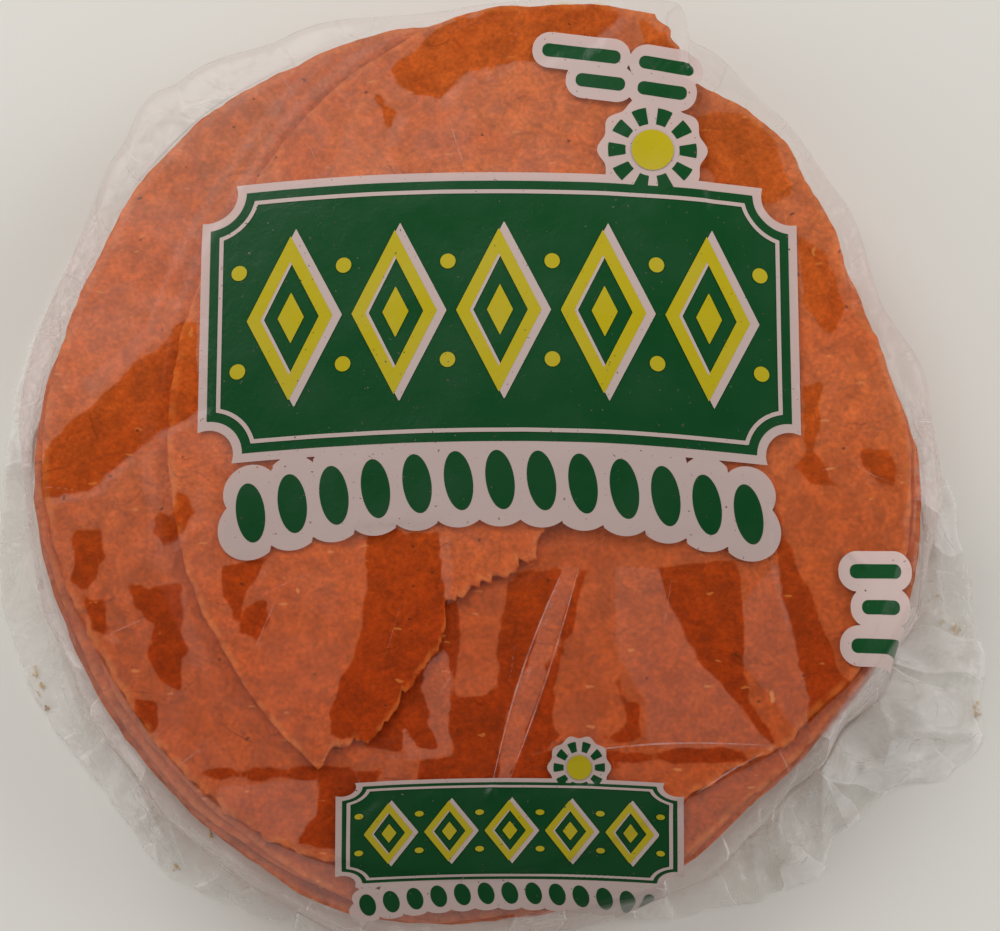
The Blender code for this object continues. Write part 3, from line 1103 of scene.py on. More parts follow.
def print_piece(name, layers, material):
    """A printed piece from (triangles) of one or more layers, with shared corners joined."""
    triangles = np.concatenate(layers)
    corners = triangles.reshape(-1, 3)
    _, first, index = np.unique(
        np.round(corners / 0.004).astype(np.int64), axis=0, return_index=True, return_inverse=True
    )
    faces = index.reshape(-1, 3)
    whole = (faces[:, 0] != faces[:, 1]) & (faces[:, 1] != faces[:, 2]) & (faces[:, 2] != faces[:, 0])
    return mesh_piece(name, corners[first], faces[whole], [material])


# ---------------------------------------------------------------- crumbs


def crumb_places(settings):
    """Where crumbs lie: (x, y, radius). Most lie where they have gathered."""
    gathered = (
        (77.6, -26.2, 0.4, 4, 0.22),
        (80.5, -27.6, 0.9, 14, 0.20),
        (83.0, -42.1, 1.2, 14, 0.22),
        (73.0, -39.4, 0.8, 6, 0.14),
        (73.0, -46.8, 0.3, 2, 0.22),
        (77.0, -21.4, 0.2, 2, 0.16),
        (73.9, -24.0, 0.4, 3, 0.14),
        (80.3, -32.7, 0.7, 3, 0.12),
        (57.5, -48.5, 0.3, 2, 0.25),
        (-50.0, -63.0, 0.5, 3, 0.25),
        (-31.0, -73.5, 0.5, 3, 0.25),
        (-55.5, -69.0, 0.6, 4, 0.20),
        (-81.3, -35.0, 0.8, 5, 0.24),
        (-80.2, -38.0, 0.8, 6, 0.26),
        (-79.2, -41.5, 0.7, 5, 0.22),
    )
    random = np.random.default_rng(5)
    places = []
    for x, y, spread, count, radius in gathered:
        for _ in range(count):
            place = random.normal((x, y), 0.6 * spread)
            places.append((place[0], place[1], radius * random.uniform(0.8, 1.7)))
    for _ in range(settings.crumb_count):
        angle = random.uniform(185.0, 350.0)
        share = random.uniform(0.15, 0.9)
        foot = float(stack_reach(np.array([angle]))[0]) + 4.0
        hem = float(around(HEM, np.array([angle]))[0]) - 4.0
        reach = mix(foot, max(hem, foot + 0.5), share)
        turn = math.radians(angle)
        places.append((reach * math.cos(turn), reach * math.sin(turn), random.uniform(0.10, 0.20)))
    return places


def crumb_mesh(settings):
    """Uneven little lumps of tortilla, under the film of the skirt."""
    random = np.random.default_rng(9)
    points, faces = [], []
    for x, y, radius in crumb_places(settings):
        lump = bmesh.new()
        bmesh.ops.create_icosphere(lump, subdivisions=1, radius=1.0)
        stretch = random.uniform(0.55, 1.35, 3) * radius
        stretch[2] = radius * random.uniform(0.35, 0.6)
        turn = random.uniform(0.0, math.pi)
        first = len(points)
        for vertex in lump.verts:
            dent = random.uniform(0.8, 1.12)
            across, along, up = (vertex.co[i] * stretch[i] * dent for i in range(3))
            points.append(
                (
                    x + across * math.cos(turn) - along * math.sin(turn),
                    y + across * math.sin(turn) + along * math.cos(turn),
                    0.25 + stretch[2] + up,
                )
            )
        faces.extend([first + vertex.index for vertex in face.verts] for face in lump.faces)
        lump.free()
    return np.array(points), np.array(faces)


# ---------------------------------------------------------------- materials


class Finish:
    """A small helper for a material's nodes."""

    def __init__(self, name):
        self.material = bpy.data.materials.new(name)
        self.material.use_nodes = True
        self.tree = self.material.node_tree
        self.tree.nodes.clear()
        self.output = self.node("ShaderNodeOutputMaterial")

    def node(self, kind, settings=None, **inputs):
        """A new node, with its settings set and its inputs set or linked by name."""
        made = self.tree.nodes.new(kind)
        for key, value in (settings or {}).items():
            setattr(made, key, value)
        for key, value in inputs.items():
            self.feed(made, key.replace("_", " "), value)
        return made

    def feed(self, node, name, value):
        socket = next(s for s in node.inputs if s.name == name and s.enabled)
        if isinstance(value, bpy.types.NodeSocket):
            self.tree.links.new(value, socket)
        else:
            socket.default_value = value

    def join(self, source, target):
        self.tree.links.new(source, target)

    def places(self):
        return self.node("ShaderNodeTexCoord").outputs["Object"]

    def noise(self, scale, detail=3.0, roughness=0.55, distortion=0.0, vector=None):
        inputs = {"Scale": scale, "Detail": detail, "Roughness": roughness, "Distortion": distortion}
        made = self.node("ShaderNodeTexNoise", **inputs)
        self.join(vector or self.places(), made.inputs["Vector"])
        return made.outputs["Fac"]

    def range(self, value, low, high, start=0.0, end=1.0):
        made = self.node("ShaderNodeMapRange", {"interpolation_type": "SMOOTHSTEP"}, Value=value)
        for name, number in zip(("From Min", "From Max", "To Min", "To Max"), (low, high, start, end)):
            made.inputs[name].default_value = number
        return made.outputs["Result"]

    def math(self, operation, first, second):
        made = self.node("ShaderNodeMath", {"operation": operation})
        for socket, value in zip(made.inputs, (first, second)):
            if isinstance(value, bpy.types.NodeSocket):
                self.join(value, socket)
            else:
                socket.default_value = value
        return made.outputs["Value"]

    def blend(self, share, first, second):
        """A colour between two colours."""
        made = self.node("ShaderNodeMix", {"data_type": "RGBA"})
        self.join(share, made.inputs["Factor"])
        for index, value in ((6, first), (7, second)):
            if isinstance(value, bpy.types.NodeSocket):
                self.join(value, made.inputs[index])
            else:
                made.inputs[index].default_value = value
        return made.outputs[2]

    def field(self, name):
        return self.node("ShaderNodeAttribute", {"attribute_name": name}).outputs["Fac"]

    def shaded(self, colour, factor):
        """A colour made darker or lighter by a factor."""
        made = self.node("ShaderNodeVectorMath", {"operation": "SCALE"})
        self.join(colour, made.inputs[0])
        self.join(factor, made.inputs["Scale"])
        return made.outputs[0]

    def tinted(self, first, second):
        """The product of two colours."""
        made = self.node("ShaderNodeVectorMath", {"operation": "MULTIPLY"})
        self.join(first, made.inputs[0])
        self.join(second, made.inputs[1])
        return made.outputs[0]

    def flecks(self, scale, outer, inner, rarity, strength, stretch=(1.0, 1.0, 1.0)):
        """Scattered spots of uneven outline, from 0 to a strength, drawn out by a stretch."""
        push = self.node("ShaderNodeTexNoise", Scale=scale * 1.7, Detail=2.0)
        self.join(self.places(), push.inputs["Vector"])
        shift = self.node("ShaderNodeVectorMath", {"operation": "SCALE"})
        self.join(push.outputs["Color"], shift.inputs[0])
        shift.inputs["Scale"].default_value = 0.45 / scale
        moved = self.node("ShaderNodeVectorMath", {"operation": "ADD"})
        self.join(self.places(), moved.inputs[0])
        self.join(shift.outputs[0], moved.inputs[1])
        drawn = self.node("ShaderNodeVectorMath", {"operation": "MULTIPLY"})
        self.join(moved.outputs[0], drawn.inputs[0])
        drawn.inputs[1].default_value = stretch
        cells = self.node("ShaderNodeTexVoronoi", Scale=scale, Randomness=1.0)
        self.join(drawn.outputs[0], cells.inputs["Vector"])
        spot = self.range(cells.outputs["Distance"], outer, inner)
        lots = self.node("ShaderNodeSeparateColor")
        self.join(cells.outputs["Color"], lots.inputs[0])
        chosen = self.range(lots.outputs[0], rarity, rarity + 0.02)
        return self.math("MULTIPLY", self.math("MULTIPLY", spot, chosen), strength)

    def facets(self, across, along, wander):
        """Sharp flat facets drawn out from the axis of the stack: their tones, edges and tilt."""
        middle = tuple(-MM * OFFSET)
        from_axis = self.node("ShaderNodeVectorMath", {"operation": "ADD"})
        self.join(self.places(), from_axis.inputs[0])
        from_axis.inputs[1].default_value = middle
        apart = self.node("ShaderNodeSeparateXYZ")
        self.join(from_axis.outputs[0], apart.inputs[0])
        angle = self.math("ARCTAN2", apart.outputs["Y"], apart.outputs["X"])
        flat = self.node("ShaderNodeVectorMath", {"operation": "MULTIPLY"})
        self.join(from_axis.outputs[0], flat.inputs[0])
        flat.inputs[1].default_value = (1.0, 1.0, 0.35)
        reach = self.node("ShaderNodeVectorMath", {"operation": "LENGTH"})
        self.join(flat.outputs[0], reach.inputs[0])
        place = self.node("ShaderNodeCombineXYZ")
        self.join(self.math("MULTIPLY", angle, 0.083 / across), place.inputs[0])
        self.join(self.math("MULTIPLY", reach.outputs["Value"], 1.0 / along), place.inputs[1])
        push = self.node("ShaderNodeTexNoise", Scale=55.0, Detail=2.0)
        self.join(self.places(), push.inputs["Vector"])
        shift = self.node("ShaderNodeVectorMath", {"operation": "SCALE"})
        self.join(push.outputs["Color"], shift.inputs[0])
        shift.inputs["Scale"].default_value = wander
        moved = self.node("ShaderNodeVectorMath", {"operation": "ADD"})
        self.join(place.outputs[0], moved.inputs[0])
        self.join(shift.outputs[0], moved.inputs[1])
        cells = self.node("ShaderNodeTexVoronoi", {"voronoi_dimensions": "2D"}, Scale=1.0)
        self.join(moved.outputs[0], cells.inputs["Vector"])
        edges = self.node(
            "ShaderNodeTexVoronoi", {"voronoi_dimensions": "2D", "feature": "DISTANCE_TO_EDGE"}, Scale=1.0
        )
        self.join(moved.outputs[0], edges.inputs["Vector"])
        tones = self.node("ShaderNodeSeparateColor")
        self.join(cells.outputs["Color"], tones.inputs[0])
        within = self.node("ShaderNodeVectorMath", {"operation": "SUBTRACT"})
        self.join(moved.outputs[0], within.inputs[0])
        self.join(cells.outputs["Position"], within.inputs[1])
        lean = self.node("ShaderNodeVectorMath", {"operation": "SUBTRACT"})
        self.join(cells.outputs["Color"], lean.inputs[0])
        lean.inputs[1].default_value = (0.5, 0.5, 0.5)
        tilt = self.node("ShaderNodeVectorMath", {"operation": "DOT_PRODUCT"})
        self.join(within.outputs[0], tilt.inputs[0])
        self.join(lean.outputs[0], tilt.inputs[1])
        return tones.outputs, edges.outputs["Distance"], tilt.outputs["Value"]

    def bump(self, height, strength, distance):
        made = self.node("ShaderNodeBump", Strength=strength, Distance=distance, Height=height)
        return made.outputs["Normal"]

    def mixed(self, share, first, second):
        made = self.node("ShaderNodeMixShader")
        if isinstance(share, bpy.types.NodeSocket):
            self.join(share, made.inputs[0])
        else:
            made.inputs[0].default_value = share
        self.join(first, made.inputs[1])
        self.join(second, made.inputs[2])
        return made.outputs[0]

    def done(self, shader):
        self.join(shader, self.output.inputs["Surface"])
        return self.material


def rgb(colour):
    return (colour[0], colour[1], colour[2], 1.0)


def with_gloss(finish, look, body, normal, share):
    """A body under the film's gloss, which is a little stronger at a slant."""
    gloss = finish.node("ShaderNodeBsdfGlossy", Roughness=look.roughness, Normal=normal)
    gloss.inputs["Color"].default_value = (1.0, 1.0, 1.0, 1.0)
    facing = finish.node("ShaderNodeLayerWeight", Blend=0.5, Normal=normal).outputs["Facing"]
    grazing = finish.math("MULTIPLY", finish.math("POWER", facing, 5.0), 0.5)
    return finish.mixed(finish.math("ADD", grazing, share), body, gloss.outputs[0])


def clear_film_finish(look):
    """The film on the stack: milky where it stands off a dry face, clear where it clings, with a veil that is
    stronger towards the far left as a painted sheen.
    """
    finish = Finish("clear film")
    wet = finish.range(finish.field("clinging"), -0.30, 0.30)
    milk = finish.range(finish.field("milky"), -0.2, 0.2)
    streaks = finish.range(finish.noise(90.0, 3.0, 0.6, 1.2), 0.35, 0.7, 0.75, 1.25)
    apart = finish.node("ShaderNodeSeparateXYZ")
    finish.join(finish.places(), apart.inputs[0])
    # Painted sheen: the veil is made stronger towards the far side and towards the left.
    far = finish.range(apart.outputs["Y"], -0.035, 0.05, 0.30, 0.82)
    far = finish.math("MULTIPLY", far, finish.range(apart.outputs["X"], -0.05, 0.06, 1.70, 0.60))
    veil = finish.math("MULTIPLY", finish.math("MULTIPLY", streaks, far), look.veil)
    veil = finish.math("ADD", veil, finish.math("MULTIPLY", milk, look.milk))
    veil = finish.math("MULTIPLY", veil, finish.range(wet, 0.0, 1.0, 1.0, 0.0))
    tint = finish.blend(wet, rgb(look.clear), rgb(look.wet))
    see_through = finish.node("ShaderNodeBsdfTransparent", Color=tint)
    cloud = finish.node("ShaderNodeBsdfDiffuse", Color=rgb(look.haze), Roughness=0.6)
    body = finish.mixed(veil, see_through.outputs[0], cloud.outputs[0])
    normal = finish.bump(finish.noise(420.0, 2.0, 0.6, 0.6), 0.18, 0.0004)
    gloss = finish.range(wet, 0.0, 1.0, 0.008, 0.005)
    return finish.done(with_gloss(finish, look, body, normal, gloss))


def creased_film_finish(look):
    """The loose film of the skirt: flat facets that meet in sharp creases, some pale, some grey, and made paler
    further out to the left and right and on the stack's left side as painted light.
    """
    finish = Finish("creased film")
    loose = finish.field("loose")
    tones, edge, tilt = finish.facets(0.0115, 0.038, 0.9)
    pale = finish.range(tones[0], 0.30, 1.0, 0.35 * look.facets, look.facets)
    apart = finish.node("ShaderNodeSeparateXYZ")
    finish.join(finish.places(), apart.inputs[0])
    # Painted light: the facets are made paler further out to the left and right.
    outward = finish.math("ABSOLUTE", apart.outputs["X"], 0.0)
    pale = finish.math("MULTIPLY", pale, finish.range(outward, 0.02, 0.075, 0.75, 1.6))
    cloudy = finish.range(finish.noise(75.0, 3.0, 0.6, 1.5), 0.35, 0.65, 0.8, 1.5)
    pale = finish.math("MULTIPLY", pale, cloudy)
    # Pale lines along the facets' edges: partly whitened creases, partly a painted highlight.
    line = finish.range(edge, 0.0, 0.030, 1.6 * look.facets, 0.0)
    line = finish.math("MULTIPLY", line, finish.range(finish.noise(70.0, 2.0), 0.42, 0.6))
    pale = finish.math("MULTIPLY", finish.math("ADD", pale, line), loose)
    # Partly painted light: the milky haze is made stronger on the stack's left side.
    haze = finish.range(apart.outputs["X"], 0.0, 0.06, 0.13, 0.06)
    haze = finish.math("MULTIPLY", haze, finish.range(apart.outputs["Y"], -0.050, -0.015, 1.0, 0.65))
    pale = finish.math("MAXIMUM", pale, finish.math("MULTIPLY", haze, finish.range(loose, 0.0, 0.3, 1.0, 0.2)))
    shade = finish.blend(
        finish.range(tones[2], 0.1, 0.35), rgb(look.shaded), (1.0, 1.0, 1.0, 1.0)
    )
    shade = finish.blend(loose, (1.0, 1.0, 1.0, 1.0), shade)
    see_through = finish.node("ShaderNodeBsdfTransparent", Color=shade)
    cloud = finish.node("ShaderNodeBsdfDiffuse", Color=rgb(look.skirt))
    lit = finish.node("ShaderNodeBsdfTranslucent", Color=rgb(look.skirt))
    cloud = finish.mixed(0.42, cloud.outputs[0], lit.outputs[0])
    body = finish.mixed(pale, see_through.outputs[0], cloud)
    crumple = finish.range(finish.noise(160.0, 2.0, 0.5, 2.0), 0.3, 0.7, 0.0, 0.25)
    bent = finish.bump(finish.math("MULTIPLY", finish.math("ADD", tilt, crumple), loose), 1.0, 0.0030)
    return finish.done(with_gloss(finish, look, body, bent, 0.022))


def lower_film_finish(look):
    """The film under the stack, which lies on the table."""
    finish = Finish("film below")
    see_through = finish.node("ShaderNodeBsdfTransparent", Color=rgb(look.clear))
    normal = finish.bump(finish.noise(300.0, 2.0), 0.2, 0.0004)
    gloss = finish.node("ShaderNodeBsdfGlossy", Roughness=look.roughness, Normal=normal)
    gloss.inputs["Color"].default_value = (1.0, 1.0, 1.0, 1.0)
    return finish.done(finish.mixed(0.004, see_through.outputs[0], gloss.outputs[0]))


def crease_finish(look):
    """The pale line of a sharp crease in the film: partly whitening, partly a painted highlight."""
    finish = Finish("whitened crease")
    broken = finish.range(finish.noise(400.0, 3.0, 0.6), 0.35, 0.65, 0.35, 1.0)
    cover = finish.math("MULTIPLY", broken, look.crease)
    bare = finish.node("ShaderNodeBsdfTransparent")
    pale = finish.node("ShaderNodeBsdfPrincipled", Base_Color=rgb(look.haze), Roughness=0.25)
    return finish.done(finish.mixed(cover, bare.outputs[0], pale.outputs[0]))


def tortilla_finish(look):
    """Chilli-red maize dough: mottled, veined and specked, damp and darker where the film clings. Painted shade
    darkens it towards the near and the far side, and a paler rim is partly a painted highlight.
    """
    finish = Finish("chilli tortilla")
    patches = finish.range(finish.noise(70.0, 4.0, 0.6, 0.6), 0.28, 0.72)
    colour = finish.blend(patches, rgb(look.deep), rgb(look.pale))
    apart = finish.node("ShaderNodeSeparateXYZ")
    finish.join(finish.places(), apart.inputs[0])
    # Painted shade: the dough is darkened towards the near side, and its damp patches more so there.
    near_shade = finish.range(apart.outputs["Y"], 0.045, -0.045, 0.0, 0.9)
    colour = finish.blend(near_shade, colour, rgb(look.near))
    # Painted shade: the dough is made darker towards the far side.
    colour = finish.shaded(colour, finish.range(apart.outputs["Y"], 0.015, 0.070, 1.0, 0.84))
    damp = finish.range(finish.field("clinging"), -0.25, 0.25)
    dampness = finish.blend(near_shade, rgb(look.damp_far), rgb(look.damp_and_near_shade))
    colour = finish.blend(damp, colour, finish.tinted(colour, dampness))
    mottle = finish.range(finish.noise(300.0, 5.0, 0.7, 0.5), 0.32, 0.70, 0.78, 1.18)
    colour = finish.shaded(colour, mottle)
    grain = finish.range(finish.noise(1300.0, 3.0, 0.6), 0.3, 0.7, 0.85, 1.12)
    colour = finish.shaded(colour, grain)
    colour = finish.shaded(colour, finish.field("tone"))
    wander = finish.math("ABSOLUTE", finish.math("SUBTRACT", finish.noise(95.0, 2.5, 0.5, 0.5), 0.5), 0.0)
    vein = finish.range(wander, 0.0, 0.030, 0.13, 0.0)
    sparse = finish.range(finish.noise(75.0, 2.0), 0.50, 0.64)
    vein = finish.math("SUBTRACT", 1.0, finish.math("MULTIPLY", vein, sparse))
    colour = finish.shaded(colour, vein)
    flakes = finish.flecks(230.0, 0.10, 0.06, 0.62, 0.55, (1.0, 0.30, 1.0))
    colour = finish.blend(flakes, colour, rgb(look.bran))
    flakes = finish.flecks(520.0, 0.16, 0.08, 0.60, 0.40, (0.30, 1.0, 1.0))
    colour = finish.blend(flakes, colour, rgb(look.bran))
    colour = finish.blend(finish.flecks(260.0, 0.095, 0.055, 0.60, 0.85), colour, rgb(look.speck))
    # A paler rim along every edge: partly a drier edge, partly a painted highlight.
    rim = finish.range(finish.field("from_rim"), 0.2, 1.3, 0.32, 0.0)
    rim = finish.math("MULTIPLY", rim, finish.range(finish.noise(350.0, 3.0, 0.6), 0.35, 0.6))
    colour = finish.blend(rim, colour, rgb(look.rim))
    swell = finish.noise(260.0, 4.0, 0.6)
    height = finish.math("ADD", finish.noise(900.0, 4.0, 0.6), finish.math("MULTIPLY", swell, 2.5))
    height = finish.math("ADD", height, finish.math("MULTIPLY", vein, 4.0))
    normal = finish.bump(height, 0.8, 0.00028)
    shader = finish.node("ShaderNodeBsdfPrincipled", Base_Color=colour, Roughness=0.78, Normal=normal)
    shader.inputs["Specular IOR Level"].default_value = 0.25
    return finish.done(shader.outputs[0])


def ink_finish(name, colour, cover, worn):
    """Printed ink: nearly solid, with pinholes and a little unevenness, and painted shade and light: darker towards
    the near side, lighter at the right.
    """
    finish = Finish(name)
    cloudy = finish.range(finish.noise(70.0, 4.0, 0.6), 0.3, 0.7, 0.0, worn)
    paint = finish.blend(cloudy, rgb(colour), tuple(0.5 * c + 0.25 for c in colour[:3]) + (1.0,))
    apart = finish.node("ShaderNodeSeparateXYZ")
    finish.join(finish.places(), apart.inputs[0])
    # Painted shade darkens the ink towards the near side, and painted light brightens it at the right.
    paint = finish.shaded(paint, finish.range(apart.outputs["Y"], -0.075, 0.075, 0.76, 1.18))
    paint = finish.shaded(paint, finish.range(apart.outputs["X"], 0.052, 0.066, 1.0, 1.45))
    holes = finish.range(finish.noise(1500.0, 2.0, 0.5), 0.70, 0.76, cover, 0.15)
    normal = finish.bump(finish.noise(420.0, 3.0, 0.6, 0.6), 0.18, 0.0004)
    shader = finish.node("ShaderNodeBsdfPrincipled", Base_Color=paint, Roughness=0.32, Normal=normal)
    shader.inputs["Specular IOR Level"].default_value = 0.35
    bare = finish.node("ShaderNodeBsdfTransparent")
    return finish.done(finish.mixed(holes, bare.outputs[0], shader.outputs[0]))


def crumb_finish(look):
    finish = Finish("dry crumbs")
    shade = finish.range(finish.noise(500.0, 3.0), 0.30, 0.55)
    colour = finish.blend(shade, rgb(look.crumb_dark), rgb(look.crumb_pale))
    normal = finish.bump(finish.noise(2500.0, 3.0), 0.5, 0.0001)
    shader = finish.node("ShaderNodeBsdfPrincipled", Base_Color=colour, Roughness=0.8, Normal=normal)
    return finish.done(shader.outputs[0])


def floor_finish(look):
    finish = Finish("pale table")
    shade = finish.range(finish.noise(3.0, 3.0, 0.5), 0.3, 0.7)
    colour = finish.blend(shade, rgb(look.table), tuple(0.985 * c for c in look.table[:3]) + (1.0,))
    shader = finish.node("ShaderNodeBsdfPrincipled", Base_Color=colour, Roughness=0.6)
    shader.inputs["Specular IOR Level"].default_value = 0.2
    return finish.done(shader.outputs[0])


# ---------------------------------------------------------------- settings


def colour_setting(name, description, default):
    return FloatVectorProperty(
        name=name, description=description, subtype="COLOR", size=3, min=0.0, max=1.0, default=default
    )


class FilmSettings(bpy.types.PropertyGroup):
    # Partly a painted sheen: the veil is strongest towards the far left.
    veil: FloatProperty(
        name="Veil", description="Milkiness of film that stands off", subtype="FACTOR", default=0.06
    )
    milk: FloatProperty(
        name="Milk", description="What the milky folds add", subtype="FACTOR", default=0.03
    )
    # Partly a painted highlight: how pale the lines along creases are.
    crease: FloatProperty(
        name="Creases", description="How pale a sharp crease is", subtype="FACTOR", default=0.24
    )
    roughness: FloatProperty(
        name="Roughness", description="Roughness of the film's gloss", subtype="FACTOR", default=0.16
    )
    facets: FloatProperty(
        name="Facets", description="How pale the creased film of the skirt is", subtype="FACTOR",
        default=0.50,
    )
    haze: colour_setting("Haze", "Colour of the veil", (0.92, 0.86, 0.84))
    skirt: colour_setting("Skirt", "Colour of the creased film", (0.995, 0.975, 0.95))
    shaded: colour_setting("Shaded", "What the darkest fold lets through", (0.975, 0.97, 0.96))
    clear: colour_setting("Clear", "Tint of dry film", (0.997, 0.996, 0.994))
    wet: colour_setting("Wet", "Tint of film that clings", (0.97, 0.90, 0.74))


class TortillaSettings(bpy.types.PropertyGroup):
    count: IntProperty(
        name="Tortillas", description="How many lie in the stack", default=TORTILLA_COUNT, min=3, max=30
    )
    deep: colour_setting("Deep", "Deeper patches", (0.68, 0.132, 0.022))
    pale: colour_setting("Pale", "Paler patches", (0.78, 0.182, 0.038))
    bran: colour_setting("Bran", "Flakes of bran", (0.86, 0.33, 0.10))
    # Partly a painted highlight: the paler colour every edge is brightened to.
    rim: colour_setting("Rim", "The dry rim", (0.86, 0.27, 0.075))
    speck: colour_setting("Specks", "Dark specks", (0.16, 0.03, 0.008))
    # Painted shade: the colour the near side of the dough is darkened to.
    near: colour_setting("Near", "The darker near side", (0.50, 0.075, 0.006))
    # Painted shade: dampness darkens the dough much more at the near side than at the far side.
    damp_far: colour_setting("Damp, far", "What dampness leaves at the far side", (0.94, 0.88, 0.85))
    damp_and_near_shade: colour_setting("Damp, near", "What dampness leaves at the near side", (0.72, 0.47, 0.02))


class PrintSettings(bpy.types.PropertyGroup):
    green: colour_setting("Green", "Green ink", (0.002, 0.068, 0.014))
    white: colour_setting("White", "White ink", (0.62, 0.475, 0.44))
    yellow: colour_setting("Yellow", "Yellow ink", (0.51, 0.405, 0.001))


class CrumbSettings(bpy.types.PropertyGroup):
    crumb_count: IntProperty(
        name="Crumbs", description="Loose crumbs in the skirt", default=26, min=0, max=400
    )
    crumb_dark: colour_setting("Dark", "Dark crumbs", (0.30, 0.12, 0.03))
    crumb_pale: colour_setting("Pale", "Pale crumbs", (0.78, 0.50, 0.14))


class StageSettings(bpy.types.PropertyGroup):
    elevation: FloatProperty(
        name="Elevation", description="Angle of the camera above the table", subtype="ANGLE",
        default=math.radians(80.0),
    )
    distance: FloatProperty(
        name="Distance", description="From the camera to the stack", unit="LENGTH", default=0.440
    )
    field_of_view: FloatProperty(
        name="Field of view", description="Width of the view", subtype="ANGLE",
        default=math.radians(22.32),
    )
    key_power: FloatProperty(name="Key", description="Power of the main light in watts", default=3.5)
    fill_power: FloatProperty(name="Fill", description="Power of the fill light in watts", default=1.6)
    sky: FloatProperty(name="Surroundings", description="Strength of the even light", default=0.36)
    table: colour_setting("Table", "Colour of the table", (0.86, 0.845, 0.79))


# ---------------------------------------------------------------- operators


class TORTILLAS_OT_film(bpy.types.Operator):
    """Draw the clear film over the stack"""

    bl_idname = "tortillas.film"
    bl_label = "Film"

    def execute(self, context):
        look = context.scene.tortilla_film
        points, faces, on_stack = film_net()
        x, y, z = points.T
        on_top = z > 21.5
        angle = np.degrees(np.arctan2(y, x))
        beyond = np.hypot(x, y) - stack_reach(angle)
        fields = {
            "clinging": np.where(on_top, clinging(x, y), -5.0),
            "milky": np.where(on_top, milky(x, y), -5.0),
            "loose": smooth((beyond + 1.6) / 2.4) * (0.2 + 0.8 * crumpled(angle)),
        }
        materials = [clear_film_finish(look), creased_film_finish(look)]
        film = mesh_piece("film", points, faces, materials, fields, on_stack)
        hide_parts("tortilla_bag")
        lines = printed(film_soup(points, faces, 0.0), crease_line, 0.02)
        print_piece("film_creases", [lines], crease_finish(look))
        share, angle, under, rim = disc_net(56)
        turn = np.radians(angle)
        reach = share * (skirt_point(angle, 1.0)[0] - 0.05)
        x, y = reach * np.cos(turn), reach * np.sin(turn)
        beyond = smooth((reach - stack_reach(angle)) / 4.0) * around(SLACK, angle)
        lift = 0.10 + beyond * (0.12 + 0.10 * uneven(x, y, 6.0, 51))
        sheet = np.stack([x, y, lift], axis=1)
        mesh_piece("film_underneath", sheet, under[:, ::-1], [lower_film_finish(look)])
        return {"FINISHED"}


class TORTILLAS_OT_stack(bpy.types.Operator):
    """Lay the tortillas on each other, the torn one on top"""

    bl_idname = "tortillas.stack"
    bl_label = "Tortillas"

    def execute(self, context):
        look = context.scene.tortilla_look
        material = tortilla_finish(look)
        for layer in range(look.count):
            if layer == 0:
                made = tortilla_mesh(layer, 164, TORN_SEED, torn_reach, 1.0)
            elif layer == 1:
                made = tortilla_mesh(layer, 150, (0.0, 0.0), second_edge, 1.0)
            else:
                made = tortilla_mesh(layer, 46, lower_centre(layer - 2), lower_edge(layer), 0.5)
            points, faces, from_rim = made
            points[:, 2] = np.maximum(points[:, 2], 0.16)
            damp = clinging(points[:, 0], points[:, 1]) if layer < 2 else np.full(len(points), -5.0)
            tone = TONES[layer % len(TONES)]
            fields = {"clinging": damp, "from_rim": from_rim, "tone": np.full(len(points), tone)}
            mesh_piece(f"tortilla_{layer + 1:02d}", points, faces, [material], fields)
        return {"FINISHED"}


class TORTILLAS_OT_print(bpy.types.Operator):
    """Print the labels on the film"""

    bl_idname = "tortillas.print"
    bl_label = "Print"

    def execute(self, context):
        inks = context.scene.tortilla_print
        points, faces, _ = film_net()
        soup = film_soup(points, faces, 6.0)
        white = [printed(soup, white_ground, 0.03), printed(soup, white_details, 0.19)]
        green = [printed(soup, green_fields, 0.07)]
        yellow = [printed(soup, yellow_details, 0.22)]
        white_ink = ink_finish("white ink", inks.white, 0.90, 0.15)
        green_ink = ink_finish("green ink", inks.green, 0.985, 0.03)
        yellow_ink = ink_finish("yellow ink", inks.yellow, 0.985, 0.08)
        print_piece("print_white", white, white_ink)
        print_piece("print_green", green, green_ink)
        print_piece("print_yellow", yellow, yellow_ink)
        return {"FINISHED"}


class TORTILLAS_OT_crumbs(bpy.types.Operator):
    """Scatter the crumbs in the skirt of the bag"""

    bl_idname = "tortillas.crumbs"
    bl_label = "Crumbs"

    def execute(self, context):
        settings = context.scene.tortilla_crumbs
        points, faces = crumb_mesh(settings)
        mesh_piece("crumbs", points, faces, [crumb_finish(settings)])
        return {"FINISHED"}


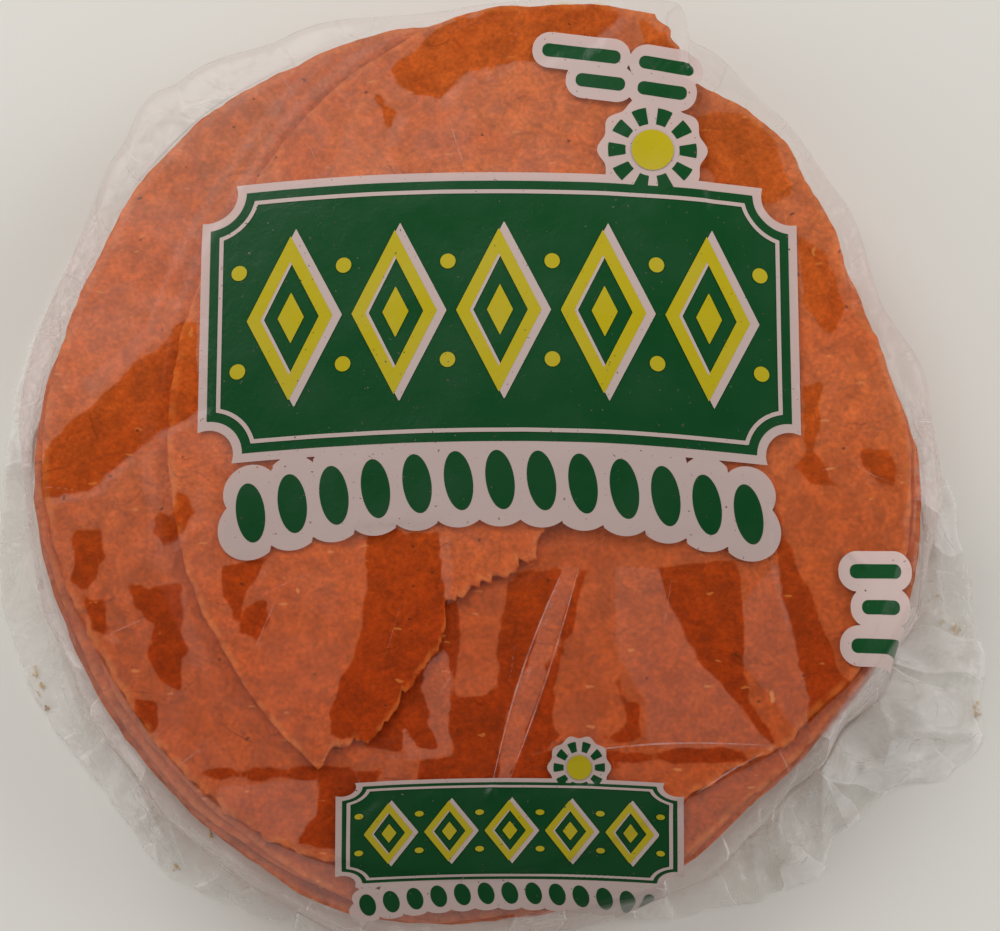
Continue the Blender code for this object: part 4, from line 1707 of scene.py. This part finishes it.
class TORTILLAS_OT_stage(bpy.types.Operator):
    """Set the table, the lights and the camera"""

    bl_idname = "tortillas.stage"
    bl_label = "Stage"

    def execute(self, context):
        stage = context.scene.tortilla_stage
        self.table(stage)
        middle = Vector((OFFSET[0] * MM, OFFSET[1] * MM, 0.010))
        self.camera(context, stage, middle)
        self.light("key", Vector((-0.38, 0.60, 0.70)), middle, 0.6, stage.key_power)
        self.light("fill_right", Vector((1.05, 0.25, 0.65)), middle, 0.7, 2.8 * stage.fill_power)
        self.light("fill_left", Vector((-1.10, -0.10, 0.60)), middle, 0.7, 1.35 * stage.fill_power)
        self.light("fill_near", Vector((0.45, -1.10, 0.60)), middle, 0.7, 0.45 * stage.fill_power)
        world = bpy.data.worlds.new("surroundings")
        world.use_nodes = True
        background = world.node_tree.nodes["Background"]
        background.inputs["Color"].default_value = (1.0, 0.98, 0.95, 1.0)
        background.inputs["Strength"].default_value = stage.sky
        world.cycles_visibility.glossy = False
        context.scene.world = world
        context.scene.view_settings.view_transform = "Standard"
        return {"FINISHED"}

    def table(self, stage):
        mesh = bpy.data.meshes.new("table")
        half = 1.5
        corners = [(-half, -half, 0), (half, -half, 0), (half, half, 0), (-half, half, 0)]
        mesh.from_pydata(corners, [], [(0, 1, 2, 3)])
        mesh.materials.append(floor_finish(stage))
        table = bpy.data.objects.new("table", mesh)
        bpy.context.scene.collection.objects.link(table)

    def camera(self, context, stage, middle):
        lens = bpy.data.cameras.new("camera")
        lens.sensor_fit = "HORIZONTAL"
        lens.angle = stage.field_of_view
        lens.clip_start = 0.01
        camera = bpy.data.objects.new("camera", lens)
        back = Vector((0.0, -math.cos(stage.elevation), math.sin(stage.elevation)))
        camera.location = middle + back * stage.distance
        camera.rotation_euler = (math.pi / 2.0 - stage.elevation, 0.0, 0.0)
        context.scene.collection.objects.link(camera)
        context.scene.camera = camera

    def light(self, name, place, middle, size, power):
        lamp = bpy.data.lights.new(name, "AREA")
        lamp.shape = "SQUARE"
        lamp.size = size
        lamp.energy = power
        light = bpy.data.objects.new(name, lamp)
        light.location = place
        light.rotation_euler = (middle - place).to_track_quat("-Z", "Y").to_euler()
        bpy.context.scene.collection.objects.link(light)


class TORTILLAS_PT_panel(bpy.types.Panel):
    """Sizes and colours, and a button for each part of the bag"""

    bl_label = "Corn Tortilla Stack"
    bl_space_type = "VIEW_3D"
    bl_region_type = "UI"
    bl_category = "Tortillas"

    def draw(self, context):
        for operator, group in PARTS:
            box = self.layout.box()
            box.operator(operator.bl_idname)
            settings = getattr(context.scene, group)
            for key in settings.__annotations__:
                box.prop(settings, key)


PARTS = (
    (TORTILLAS_OT_stage, "tortilla_stage"),
    (TORTILLAS_OT_stack, "tortilla_look"),
    (TORTILLAS_OT_film, "tortilla_film"),
    (TORTILLAS_OT_print, "tortilla_print"),
    (TORTILLAS_OT_crumbs, "tortilla_crumbs"),
)
SETTINGS = (
    (StageSettings, "tortilla_stage"),
    (TortillaSettings, "tortilla_look"),
    (FilmSettings, "tortilla_film"),
    (PrintSettings, "tortilla_print"),
    (CrumbSettings, "tortilla_crumbs"),
)


def register():
    for group, name in SETTINGS:
        bpy.utils.register_class(group)
        setattr(bpy.types.Scene, name, PointerProperty(type=group))
    for operator, _ in PARTS:
        bpy.utils.register_class(operator)
    bpy.utils.register_class(TORTILLAS_PT_panel)


def unregister():
    bpy.utils.unregister_class(TORTILLAS_PT_panel)
    for operator, _ in reversed(PARTS):
        bpy.utils.unregister_class(operator)
    for group, name in reversed(SETTINGS):
        delattr(bpy.types.Scene, name)
        bpy.utils.unregister_class(group)


def main():
    register()
    bpy.ops.tortillas.stage()
    bpy.ops.tortillas.stack()
    bpy.ops.tortillas.film()
    bpy.ops.tortillas.print()
    bpy.ops.tortillas.crumbs()


if __name__ == "__main__":
    main()
